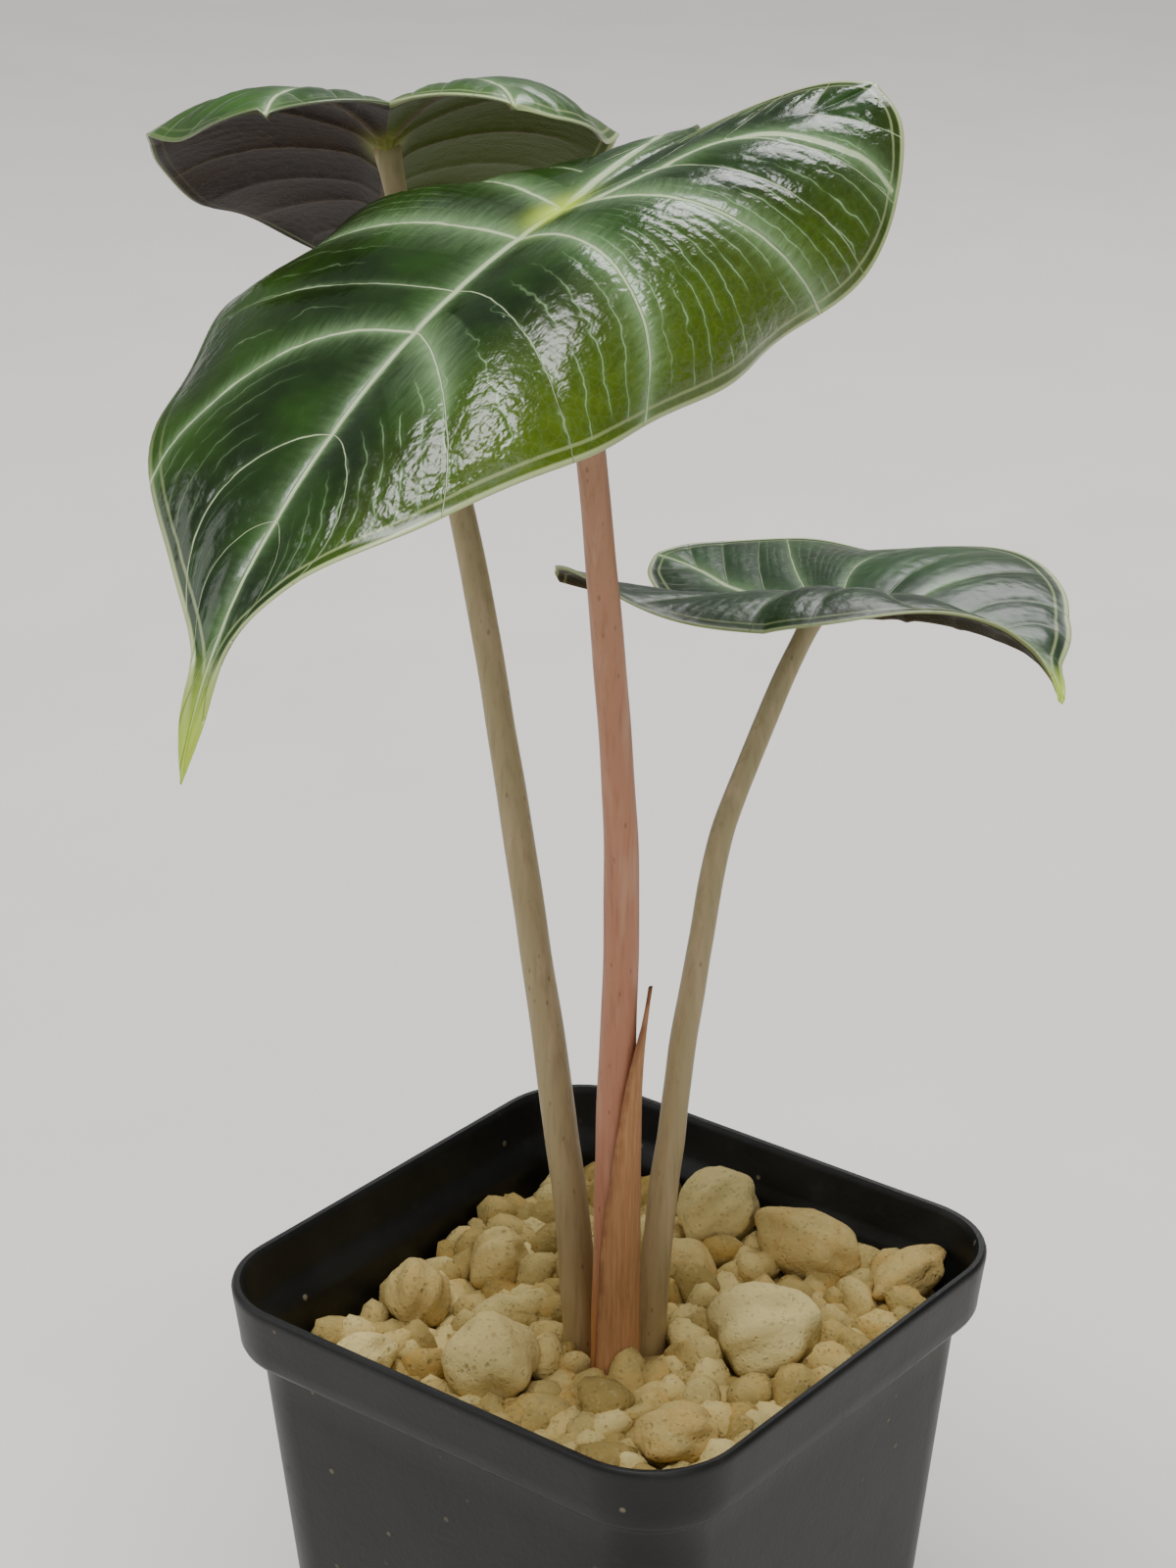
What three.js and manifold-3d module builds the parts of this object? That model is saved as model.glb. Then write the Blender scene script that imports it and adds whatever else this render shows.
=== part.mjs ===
// Potted Nairobi Nights alocasia: three arrow-shaped leaves on tall stalks, growing from a short
// crown in a small square nursery pot filled with pumice gravel.
//
// Millimetres, +Z up. The origin is the middle of the pot's flat underside, and the pot's walls
// run along X and Y. The plant has a frame of its own, at the middle of the pot's rim and turned
// about the pot's axis, in which the largest leaf points along -X and -Y.

import * as THREE from 'three';
import { mergeVertices } from 'three/addons/utils/BufferGeometryUtils.js';
import Module from 'manifold-3d';

// Clearance between pieces that touch on the real thing.
const GAP = 0.35;

// Square pot.
const POT_HEIGHT = 100;
const RIM_SIDE = 90;
const RIM_CORNER = 15;
const LIP_WIDTH = 1.9;
const BAND_HEIGHT = 10;
const BAND_TAPER = 1.2;
const BAND_OVERHANG = 4.2;
const BASE_SIDE = 69;
const BASE_CORNER = 12;
const WALL = 1.4;
const FLOOR = 2.0;
const DRAIN_RADIUS = 3.8;
const DRAIN_RING = 22;
const DRAINS = 8;
const CORNER_STEPS = 5;

// Plant's turn about the pot's axis.
const PLANT_TURN = THREE.MathUtils.degToRad(38.2);

// Gravel bed. Its top is this far below the pot's rim in the middle, and rises towards the
// plant's +X. Grains stand out of it by the given share of their radius.
const BED_DEPTH = 12.2;
const BED_SLOPE = 0.08;
const GRAIN_PITCH = 6.6;
const GRAIN_RADIUS = [2.8, 4.3];
const GRAIN_RISE = [-0.45, 0.25];
const GRAIN_SEED = 41;

// Colours, roughness.
const BLACK_PLASTIC = [0x17181a, 0.5];
const GRAVEL = [0xa8875c, 0.92];
const PUMICE = [0xd6c79f, 0.95];
const TAN_STONE = [0xb98a58, 0.93];
const CROWN_BROWN = [0x7a5433, 0.85];
const PINK_STALK = [0xa9685c, 0.45];
const TAN_STALK = [0x9a8a62, 0.5];
const SHEATH_TAN = [0xb58050, 0.6];
const LEAF_GREEN = [0x1d3a1c, 0.25];

// Blade thickness at the margin and at the midrib, and the ribs' relief.
const MARGIN_THICK = 0.8;
const MIDRIB_THICK = 2.2;
const RIB_SPREAD = 3.0;
const QUILT = 0.75;

// Large stones in the plant's frame: name, middle (its height from the rim), half sizes, turn, how
// finely it is faceted, and look.
const STONES = [
  ['stone_big_right', [22.6, -9.0, -6.9], [8.3, 7.8, 7.0], 0.4, 2, PUMICE],
  ['stone_big_left', [-18.1, -12.6, -9.9], [7.0, 6.8, 6.5], 2.7, 2, PUMICE],
  ['stone_back_round', [17.1, 27.4, -6.9], [7.1, 6.1, 6.2], 1.1, 1, PUMICE],
  ['stone_back_wide', [30.4, 16.4, -7.4], [9.4, 5.4, 5.6], -0.7, 1, TAN_STONE],
  ['stone_long', [45.6, 6.4, -6.6], [7.6, 3.6, 3.6], 0.8, 1, TAN_STONE],
  ['stone_left_far', [-17.8, 18.8, -12.0], [4.6, 4.4, 5.6], 0.3, 1, TAN_STONE],
  ['stone_left_mid', [-30.3, 9.0, -11.8], [5.6, 4.8, 5.4], 1.9, 1, TAN_STONE],
  ['stone_left_corner', [-37.6, -9.0, -12.2], [5.6, 4.4, 4.2], 0.9, 1, PUMICE],
  ['stone_front', [9.0, -33.2, -9.6], [6.2, 5.2, 4.6], 0.2, 1, TAN_STONE],
  ['stone_middle', [11.6, 14.0, -10.4], [5.8, 4.8, 4.8], 2.0, 1, TAN_STONE],
].map(([name, at, half, turn, fine, look]) => ({ name, at, half, turn, fine, look }));

// Stalks in the plant's frame: points up the axis from the crown to the blade, and the radius at
// the foot and at the top.
const STALKS = {
  front: {
    points: [[-0.2, -10.0, -14.8], [-0.1, -10.2, -1.7], [0.0, -10.7, 13.4], [0.2, -11.6, 27.4],
      [0.5, -12.5, 41.4], [0.9, -13.7, 54.9], [0.9, -15.3, 73.5], [0.0, -17.2, 91.3], [-1.3, -19.3, 108.6],
      [-3.0, -22.6, 129.6], [-4.7, -25.6, 148.6], [-6.7, -29.0, 166.2]],
    radius: [3.2, 1.75],
  },
  left: {
    points: [[-4.4, -3.0, -14.8], [-5.3, -2.6, -1.1], [-6.5, -1.8, 13.0], [-7.7, -1.0, 21.8],
      [-9.2, 0.3, 34.7], [-11.0, 2.0, 47.5], [-13.4, 4.7, 64.6], [-16.0, 7.9, 81.4], [-18.6, 11.4, 97.6],
      [-21.4, 15.0, 111.7], [-26.6, 21.5, 136.1], [-32.2, 30.0, 163.1]],
    radius: [2.9, 1.6],
  },
  right: {
    points: [[5.3, -4.9, -14.8], [6.3, -4.6, 0.1], [7.5, -4.1, 14.3], [8.6, -3.6, 23.2], [10.0, -2.6, 36.4],
      [12.0, -0.9, 49.0], [14.8, 2.0, 65.7], [17.5, 4.4, 73.9], [20.8, 7.2, 81.6], [24.2, 10.3, 89.2],
      [29.2, 14, 98.9]],
    radius: [2.5, 1.45],
  },
};
const STALK_SIDES = 10;
const STALK_STEPS = 22;
const SHEATH_CLEAR = 1.6;

// Crown and roots, in the plant's frame.
const CROWN_AT = [0.4, -5.2];
const CROWN_PROFILE = [[0, -15.7], [7.2, -15.7], [8.4, -17.0], [8.6, -21], [7.6, -27], [5.4, -34], [3.0, -39],
  [0, -40]];
const ROOTS = 6;
const ROOT_SEED = 12;

// Dry sheath round the front stalk: from foot to free tip, as shares of the stalk.
const SHEATH_TOP = 0.355;
const SHEATH_THICK = 0.75;
const SHEATH_SPAN = [1.45, 0.3];
const SHEATH_FACING = [-0.8, -0.1];
const SHEATH_OPENS = 1.0;

// Leaves. at: where the stalk meets the blade. yaw is from +Y towards +X, pitch is the tip's dip
// and roll lifts the right half. length, width, lobe and drip are the fore part, the half width,
// the back lobes and the drip tip, and sinus is how much of the lobes is grown together. full
// widens each half, right half first. bend is the rib's curvature ahead of the stalk, behind it
// and in the drip tip. rise is each half's angle at the rib and curl how far its margin has turned
// down. lobeRise and lobeCurl add to them towards the lobe's end.
const LEAVES = {
  front: {
    at: [-6.7, -29, 166.2], yaw: 221, pitch: 14, roll: -6, length: 75, width: 39.5, lobe: 41, drip: 17,
    sinus: 0.66, full: [1.14, 1], bend: [0.0082, 0.0022, 0.008], rise: [8.4, 13], curl: [0.6, 2.1],
    lobeRise: [-33, 8], lobeCurl: [5.6, 0.0], wave: 0.9, seed: 0.4,
  },
  left: {
    at: [-32.2, 30, 163.1], yaw: 354.7, pitch: 32.3, roll: -2.5, length: 68, width: 33.5, lobe: 43.7,
    drip: 15, sinus: 0.69, full: [1, 1], bend: [-0.0016, 0.0143, 0.01], rise: [22.5, 12.3],
    curl: [0.966, 0.636], lobeRise: [0, 0], lobeCurl: [1.12, 1.48], wave: 0.7, seed: 2.1,
  },
  right: {
    at: [29.2, 14, 98.9], yaw: 106.6, pitch: -12.8, roll: 45.8, length: 36.5, width: 29, lobe: 35, drip: 7,
    sinus: 0.6, full: [1, 1.24], bend: [0.0195, -0.0106, 0.05], rise: [-12, 50], curl: [1.06, 0.28],
    lobeRise: [0, 0], lobeCurl: [-0.9, -0.9], wave: 0.5, seed: 4.0,
  },
};
const RUNGS = 24;
const LOBE_RUNGS = 8;
const ACROSS = 7;
const INNER_ACROSS = 5;
const TURN_STEPS = 12;

const wasm = await Module();
wasm.setup();

// Solid for joining and cutting, from a closed geometry.
function solid(geometry) {
  const bare = new THREE.BufferGeometry();
  bare.setAttribute('position', geometry.getAttribute('position').clone());
  if (geometry.index) {
    bare.setIndex(geometry.index.clone());
  }
  const merged = mergeVertices(bare, 1e-4);
  const mesh = new wasm.Mesh({
    numProp: 3,
    vertProperties: Float32Array.from(merged.getAttribute('position').array),
    triVerts: Uint32Array.from(merged.index.array),
  });
  return new wasm.Manifold(mesh);
}

// Geometry of a solid.
function surface(body) {
  const mesh = body.getMesh();
  return indexed(Array.from(mesh.vertProperties), Array.from(mesh.triVerts));
}

// Geometry from flat lists of coordinates and corner numbers.
function indexed(positions, corners) {
  const geometry = new THREE.BufferGeometry();
  geometry.setAttribute('position', new THREE.Float32BufferAttribute(positions, 3));
  geometry.setIndex(corners);
  geometry.computeVertexNormals();
  return geometry;
}

// Numbers from 0 to 1 that are the same on every run.
function seeded(seed) {
  let state = seed * 2654435761 % 4294967296;
  return () => {
    state = (state * 1664525 + 1013904223) % 4294967296;
    return state / 4294967296;
  };
}

const lerp = (a, b, t) => a + (b - a) * t;
const clamp = (x, lo, hi) => Math.min(hi, Math.max(lo, x));

// Points round a square of the given side with rounded corners, counter-clockwise.
function squareRing(side, corner, steps = CORNER_STEPS) {
  const ring = [];
  const c = side / 2 - corner;
  for (let quarter = 0; quarter < 4; quarter++) {
    const middle = Math.PI / 4 + quarter * Math.PI / 2;
    const x = Math.sign(Math.cos(middle)) * c;
    const y = Math.sign(Math.sin(middle)) * c;
    for (let i = 0; i <= steps; i++) {
      const angle = quarter * Math.PI / 2 + i / steps * Math.PI / 2;
      ring.push([x + corner * Math.cos(angle), y + corner * Math.sin(angle)]);
    }
  }
  return ring;
}

// Closed body through rings of equal count. Each ring is a list of [x, y, z], and each end is
// closed by a fan to its middle.
function loft(rings) {
  const n = rings[0].length;
  const positions = rings.flat(2);
  const corners = [];
  for (let r = 0; r < rings.length - 1; r++) {
    for (let i = 0; i < n; i++) {
      const j = (i + 1) % n;
      const a = r * n + i;
      const b = r * n + j;
      corners.push(a, b, b + n, a, b + n, a + n);
    }
  }
  for (const [ring, flip] of [[0, true], [rings.length - 1, false]]) {
    const centre = positions.length / 3;
    const mean = [0, 1, 2].map((k) => rings[ring].reduce((s, p) => s + p[k], 0) / n);
    positions.push(...mean);
    for (let i = 0; i < n; i++) {
      const a = ring * n + i;
      const b = ring * n + (i + 1) % n;
      corners.push(...(flip ? [centre, b, a] : [centre, a, b]));
    }
  }
  return indexed(positions, corners);
}

// Loft of rounded squares: rows of [side, corner, height].
const squareLoft = (rows) => loft(rows.map(([side, corner, z]) => (
  squareRing(side, corner).map(([x, y]) => [x, y, z]))));

// Outer side of the pot's wall at a height.
const wallSide = (z) => lerp(BASE_SIDE, RIM_SIDE - 2 * BAND_OVERHANG, z / (POT_HEIGHT - BAND_HEIGHT));
const wallCorner = (z) => lerp(BASE_CORNER, RIM_CORNER - BAND_OVERHANG, z / (POT_HEIGHT - BAND_HEIGHT));

// Pot: tapered walls under an overhanging rim band, with drain holes round the floor.
function potGeometry() {
  const bandFoot = POT_HEIGHT - BAND_HEIGHT;
  const under = bandFoot - 2.2;
  const shell = solid(squareLoft([
    [BASE_SIDE - 3, BASE_CORNER - 1.5, 0],
    [BASE_SIDE - 0.8, BASE_CORNER - 0.4, 0.9],
    [wallSide(3), wallCorner(3), 3],
    [wallSide(under), wallCorner(under), under],
    [RIM_SIDE - 2 * BAND_TAPER, RIM_CORNER - BAND_TAPER, bandFoot],
    [RIM_SIDE - 0.2, RIM_CORNER - 0.1, POT_HEIGHT - 0.9],
    [RIM_SIDE - 1.2, RIM_CORNER - 0.6, POT_HEIGHT],
  ]));
  const mouth = RIM_SIDE - 2 * LIP_WIDTH;
  const neck = wallSide(bandFoot) - 2 * WALL;
  const inside = solid(squareLoft([
    [wallSide(FLOOR) - 2 * WALL, wallCorner(FLOOR) - WALL, FLOOR],
    [neck, wallCorner(bandFoot) - WALL, bandFoot],
    [mouth - 2.4, RIM_CORNER - LIP_WIDTH - 1.2, bandFoot + 3.5],
    [mouth, RIM_CORNER - LIP_WIDTH, POT_HEIGHT - 1.2],
    [mouth + 1.2, RIM_CORNER - LIP_WIDTH + 0.6, POT_HEIGHT + 1],
  ]));
  let pot = shell.subtract(inside);
  for (let i = 0; i < DRAINS; i++) {
    const angle = (i + 0.5) / DRAINS * 2 * Math.PI;
    const reach = DRAIN_RING * (i % 2 === 0 ? 1.06 : 0.94);
    const hole = new THREE.CylinderGeometry(DRAIN_RADIUS, DRAIN_RADIUS, 4 * FLOOR, 12);
    hole.rotateX(Math.PI / 2);
    hole.translate(reach * Math.cos(angle), reach * Math.sin(angle), 0);
    pot = pot.subtract(solid(hole));
  }
  return surface(pot);
}

// Smooth axis through points.
const axis = (points) => new THREE.CatmullRomCurve3(points.map((p) => new THREE.Vector3(...p)));

// Closed tapered tube round an axis. radius(t) is given along the axis, and both ends are domed.
function tube(curve, radius, sides, steps) {
  const frames = curve.computeFrenetFrames(steps, false);
  const rings = [];
  const ringAt = (i, scale, slide) => {
    const centre = curve.getPointAt(i / steps).addScaledVector(frames.tangents[i], slide);
    const r = radius(i / steps) * scale;
    const ring = [];
    for (let k = 0; k < sides; k++) {
      const angle = k / sides * 2 * Math.PI;
      const p = centre.clone()
        .addScaledVector(frames.normals[i], r * Math.cos(angle))
        .addScaledVector(frames.binormals[i], r * Math.sin(angle));
      ring.push([p.x, p.y, p.z]);
    }
    rings.push(ring);
  };
  const r0 = radius(0);
  const r1 = radius(1);
  ringAt(0, 0.72, 0);
  ringAt(0, 1, 0.3 * r0);
  for (let i = 1; i < steps; i++) {
    ringAt(i, 1, 0);
  }
  ringAt(steps, 1, -0.3 * r1);
  ringAt(steps, 0.72, 0);
  return loft(rings);
}

// Stalk's radius along it: swollen at the foot, then a steady taper.
const stalkRadius = ([foot, top]) => (t) => lerp(foot, top, Math.min(1, 0.25 * Math.sqrt(t) + 0.75 * t));

// Stalk up to its blade, its end shaped to the blade's underside and held clear of it.
function stalkGeometry({ points, radius }, leaf, blade) {
  const normal = new THREE.Vector3().setFromMatrixColumn(leafFrame(leaf), 2);
  const slab = solid(blade);
  let stalk = solid(tube(axis(points), stalkRadius(radius), STALK_SIDES, STALK_STEPS));
  for (const back of [0, 0.5, 1]) {
    stalk = stalk.subtract(slab.translate(normal.clone().multiplyScalar(-GAP * back).toArray()));
  }
  return surface(largest(stalk));
}

// Crown, turned, with its roots fused on. grow widens everything, for the hollow in the gravel.
function crownSolid(grow) {
  const profile = CROWN_PROFILE.map(([r, z], i) => {
    const end = i === 0 ? grow : (i === CROWN_PROFILE.length - 1 ? -grow : 0);
    return new THREE.Vector2(r > 0 ? r + grow : 0, z + end);
  });
  profile.reverse();
  const lathe = new THREE.LatheGeometry(profile, 16);
  lathe.rotateX(Math.PI / 2);
  lathe.translate(CROWN_AT[0], CROWN_AT[1], 0);
  let body = solid(lathe);
  const draw = seeded(ROOT_SEED);
  for (let i = 0; i < ROOTS; i++) {
    const angle = (i + 0.6 * draw()) / ROOTS * 2 * Math.PI;
    const out = 13 + 9 * draw();
    const down = -54 - 18 * draw();
    const bow = 0.5 * (draw() - 0.5);
    const start = -20 - 10 * draw();
    const c = Math.cos(angle);
    const s = Math.sin(angle);
    const spot = (reach, z, turn) => [CROWN_AT[0] + reach * Math.cos(angle + turn),
      CROWN_AT[1] + reach * Math.sin(angle + turn), z];
    const path = axis([[CROWN_AT[0] + 2.5 * c, CROWN_AT[1] + 2.5 * s, start],
      spot(8.5, start - 4, 0), spot(0.75 * out, 0.5 * (start + down), bow), spot(out, down, 1.6 * bow)]);
    body = body.add(solid(tube(path, (t) => lerp(1.8, 1.0, t) + grow, 5, 6)));
  }
  return body;
}

// Stone: a ball pushed in and out by a few waves, then stretched and turned.
function stoneGeometry({ at, half, turn, fine }, grow, seed) {
  const ball = mergeVertices(stripped(new THREE.IcosahedronGeometry(1, fine)), 1e-4);
  const spots = ball.getAttribute('position');
  const p = new THREE.Vector3();
  for (let i = 0; i < spots.count; i++) {
    p.fromBufferAttribute(spots, i).normalize();
    const rough = 1 + 0.09 * Math.sin(3.1 * p.x + 5.3 * p.y + seed)
      + 0.07 * Math.sin(4.7 * p.z - 3.9 * p.x + 2 * seed)
      + 0.05 * Math.sin(7.3 * p.y + 6.1 * p.z + 3 * seed);
    p.multiplyScalar(rough);
    p.set(p.x * half[0], p.y * half[1], p.z * half[2]);
    p.addScaledVector(p.clone().normalize(), grow);
    p.applyAxisAngle(new THREE.Vector3(0, 0, 1), turn);
    spots.setXYZ(i, p.x + at[0], p.y + at[1], p.z + at[2]);
  }
  return ball;
}

// Geometry with its positions only.
function stripped(geometry) {
  geometry.deleteAttribute('normal');
  geometry.deleteAttribute('uv');
  return geometry;
}

// Turn from the plant's frame to the pot's, in the plan.
function toPot(x, y) {
  const c = Math.cos(PLANT_TURN);
  const s = Math.sin(PLANT_TURN);
  return [x * c - y * s, x * s + y * c];
}

// Half width of the pot's hollow at a height above its underside.
function hollowHalf(z) {
  const foot = POT_HEIGHT - BAND_HEIGHT;
  const mouth = RIM_SIDE / 2 - LIP_WIDTH - 1.2;
  if (z < foot) {
    return wallSide(z) / 2 - WALL;
  }
  return Math.min(mouth, lerp(wallSide(foot) / 2 - WALL, mouth, (z - foot) / 3.5));
}

// Height of the bed's top from the rim, at a place in the pot's axes.
const bedTop = (x, y) => BED_SLOPE * (x * Math.cos(PLANT_TURN) + y * Math.sin(PLANT_TURN)) - BED_DEPTH;

// Gravel bed in the pot's axes with its middle at the rim's height: a block that fills the pot,
// with grains on a jittered grid fused to its top, and hollows for the crown, the stalks' feet
// and the large stones.
function gravelGeometry() {
  const low = POT_HEIGHT - BED_DEPTH - BED_SLOPE * 1.2 * RIM_SIDE / 2;
  const foot = squareRing(wallSide(FLOOR + GAP) - 2 * WALL - 2 * GAP, wallCorner(FLOOR) - WALL - GAP);
  const brim = squareRing(wallSide(low) - 2 * WALL - 2 * GAP, wallCorner(low) - WALL - GAP);
  let bed = solid(loft([
    foot.map(([x, y]) => [x, y, FLOOR + GAP - POT_HEIGHT]),
    brim.map(([x, y]) => [x, y, bedTop(x, y)]),
  ]));
  const draw = seeded(GRAIN_SEED);
  const half = hollowHalf(low);
  const count = Math.floor(2 * half / GRAIN_PITCH);
  const round = wallCorner(low) - WALL;
  for (let i = 0; i < count; i++) {
    for (let j = 0; j < count; j++) {
      const radius = lerp(...GRAIN_RADIUS, draw());
      const wide = [i, j].map((k) => (k + 0.5 + 0.7 * (draw() - 0.5)) / count * 2 * half - half);
      const lift = radius * lerp(...GRAIN_RISE, draw());
      const turn = [draw() * 3, draw() * 3, draw() * 3];
      const squash = lerp(0.75, 0.95, draw());
      const height = bedTop(wide[0], wide[1]) + lift;
      const reach = hollowHalf(POT_HEIGHT + height - radius) - radius - GAP;
      const [x, y] = wide.map((v) => clamp(v, -reach, reach));
      const past = [x, y].map((v) => Math.abs(v) - (reach + radius + GAP - round));
      if (past[0] > 0 && past[1] > 0 && Math.hypot(...past) > round - radius - GAP) {
        continue;
      }
      const grain = mergeVertices(stripped(new THREE.IcosahedronGeometry(radius, 0)), 1e-4);
      grain.rotateX(turn[0]);
      grain.rotateY(turn[1]);
      grain.scale(1, 1, squash);
      grain.rotateZ(turn[2]);
      grain.translate(x, y, height);
      bed = bed.add(solid(grain));
    }
  }
  const turned = THREE.MathUtils.radToDeg(PLANT_TURN);
  const cut = (body) => {
    bed = bed.subtract(body.rotate([0, 0, turned]));
  };
  cut(crownSolid(GAP));
  for (const [name, { points, radius }] of Object.entries(STALKS)) {
    const clear = GAP + (name === 'front' ? SHEATH_CLEAR : 0);
    const path = axis([[points[0][0], points[0][1], points[0][2] - 1.2], points[0], points[1], points[2]]);
    cut(solid(tube(path, () => radius[0] + clear, STALK_SIDES, 4)));
  }
  STONES.forEach((stone, i) => cut(solid(stoneGeometry(stone, GAP, i + 1))));
  return surface(largest(bed));
}

// The largest of a solid's loose parts.
function largest(body) {
  const parts = body.decompose();
  return parts.reduce((a, b) => (b.volume() > a.volume() ? b : a));
}

// Smooth line through plan points, cut into equal lengths.
function smoothLine(points, count) {
  const flat = points.map(([x, y]) => new THREE.Vector3(x, y, 0));
  const curve = new THREE.CatmullRomCurve3(flat, false, 'catmullrom', 0.5);
  curve.arcLengthDivisions = 400;
  return curve.getSpacedPoints(count).map((p) => [p.x, p.y]);
}

// Half planform: outer margin from drip tip to lobe end, inner margin from lobe end to sinus, and
// the lobe's rib from stalk to lobe end. x is across, y is towards the tip, the stalk is at 0.
function planform({ length: L, width, lobe: B, drip: T, sinus, full }, side) {
  const W = width * full[side > 0 ? 0 : 1];
  const notch = [[0.48, 0], [0.3, 0.2], [0.14, 0.567], [0.04, 0.867], [0, 1]];
  return {
    outer: [[0, L + T], [0.9, L + 0.62 * T], [1.9, L + 0.25 * T], [0.1 * W, L], [0.27 * W, 0.9 * L],
      [0.56 * W, 0.72 * L], [0.82 * W, 0.47 * L], [0.97 * W, 0.18 * L], [W, -0.25 * B],
      [0.9 * W, -0.62 * B], [0.68 * W, -0.9 * B], [0.48 * W, -B]],
    inner: notch.map(([across, up]) => [across * W, ((1 - sinus) * up - 1) * B]),
    rib: [[0, 0], [0.1 * W, -0.2 * B], [0.26 * W, -0.48 * B], [0.42 * W, -0.74 * B], [0.48 * W, -B]],
  };
}

// Blade point: plan (x across from the rib, y) of one half, carried along the rib's bend and then
// round the half's curl, in the plant's frame.
function bladePoint(leaf, side, x, y) {
  const { length: L, width: W, lobe: B } = leaf;
  const half = side > 0 ? 0 : 1;
  const bendAt = (v) => (v > 0 ? leaf.bend[0] : leaf.bend[1]) * v + leaf.bend[2] * Math.max(0, v - 0.86 * L);
  let along = 0;
  let drop = 0;
  for (let i = 0; i < TURN_STEPS; i++) {
    const angle = bendAt(y * (i + 0.5) / TURN_STEPS);
    along += Math.cos(angle) * y / TURN_STEPS;
    drop -= Math.sin(angle) * y / TURN_STEPS;
  }
  const back = clamp(-y / B, 0, 1);
  const curl = leaf.curl[half] * (1 + leaf.lobeCurl[half] * back);
  const rise = THREE.MathUtils.degToRad(leaf.rise[half] + leaf.lobeRise[half] * back ** 2);
  let across = 0;
  let lift = 0;
  for (let i = 0; i < TURN_STEPS; i++) {
    const angle = rise - curl * clamp(x * (i + 0.5) / TURN_STEPS / W, 0, 1.1) ** 1.6;
    across += Math.cos(angle) * x / TURN_STEPS;
    lift += Math.sin(angle) * x / TURN_STEPS;
  }
  const tilt = bendAt(y);
  const point = new THREE.Vector3(across * side, along + lift * Math.sin(tilt), drop + lift * Math.cos(tilt));
  return point.applyMatrix4(leafFrame(leaf));
}

// A leaf's placing in the plant's frame.
function leafFrame({ at, yaw, pitch, roll }) {
  const [a, b, c] = [yaw, pitch, roll].map(THREE.MathUtils.degToRad);
  const tip = new THREE.Vector3(Math.sin(a) * Math.cos(b), Math.cos(a) * Math.cos(b), -Math.sin(b));
  const right = new THREE.Vector3(Math.cos(a), -Math.sin(a), 0);
  const up = right.clone().cross(tip);
  const turned = right.clone().multiplyScalar(Math.cos(c)).addScaledVector(up, Math.sin(c));
  const normal = turned.clone().cross(tip);
  return new THREE.Matrix4().makeBasis(turned, tip, normal).setPosition(...at);
}

// One blade: both halves' plan as rungs from rib to margin, bent into shape, quilted between the
// veins and given two faces with the same triangles.
function bladeGeometry(leaf) {
  const { length: L, drip: T } = leaf;
  const plan = [];
  const keys = new Map();
  const corners = [];
  const vertex = (side, x, y, phase, across, edge) => {
    const key = `${(side * x).toFixed(3)},${y.toFixed(3)}`;
    if (!keys.has(key)) {
      keys.set(key, plan.length);
      plan.push({ side, x, y, phase, across, edge });
    }
    return keys.get(key);
  };
  const patch = (side, starts, ends, columns, bow, flip) => {
    const rows = starts.map(([x0, y0], r) => {
      const [x1, y1] = ends[r];
      const row = [];
      for (let k = 0; k <= columns; k++) {
        const w = k / columns;
        const pull = bow * (1 - w) * w * Math.hypot(x1 - x0, y1 - y0);
        row.push(vertex(side, lerp(x0, x1, w), lerp(y0, y1, w) - pull, r / 2, w, k === columns));
      }
      return row;
    });
    for (let r = 0; r < rows.length - 1; r++) {
      for (let k = 0; k < columns; k++) {
        const quad = [rows[r][k], rows[r][k + 1], rows[r + 1][k + 1], rows[r + 1][k]];
        const turn = (side > 0) !== flip ? quad : [...quad].reverse();
        for (const tri of [[turn[0], turn[1], turn[2]], [turn[0], turn[2], turn[3]]]) {
          if (new Set(tri).size === 3) {
            corners.push(tri);
          }
        }
      }
    }
  };
  const foreRungs = RUNGS - LOBE_RUNGS;
  const midLine = [];
  for (let i = 0; i <= foreRungs; i++) {
    midLine.push([0, lerp(L + T, 0, (i / foreRungs) ** 0.86)]);
  }
  for (const side of [1, -1]) {
    const { outer, inner, rib } = planform(leaf, side);
    const ribLine = smoothLine(rib, LOBE_RUNGS);
    const starts = [...midLine, ...ribLine.slice(1)];
    const ends = smoothLine(outer, RUNGS);
    patch(side, starts, ends, ACROSS, 0.12, true);
    patch(side, [...ribLine].reverse(), smoothLine(inner, LOBE_RUNGS), INNER_ACROSS, 0, true);
  }
  return twoFaced(leaf, plan, corners);
}

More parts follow.
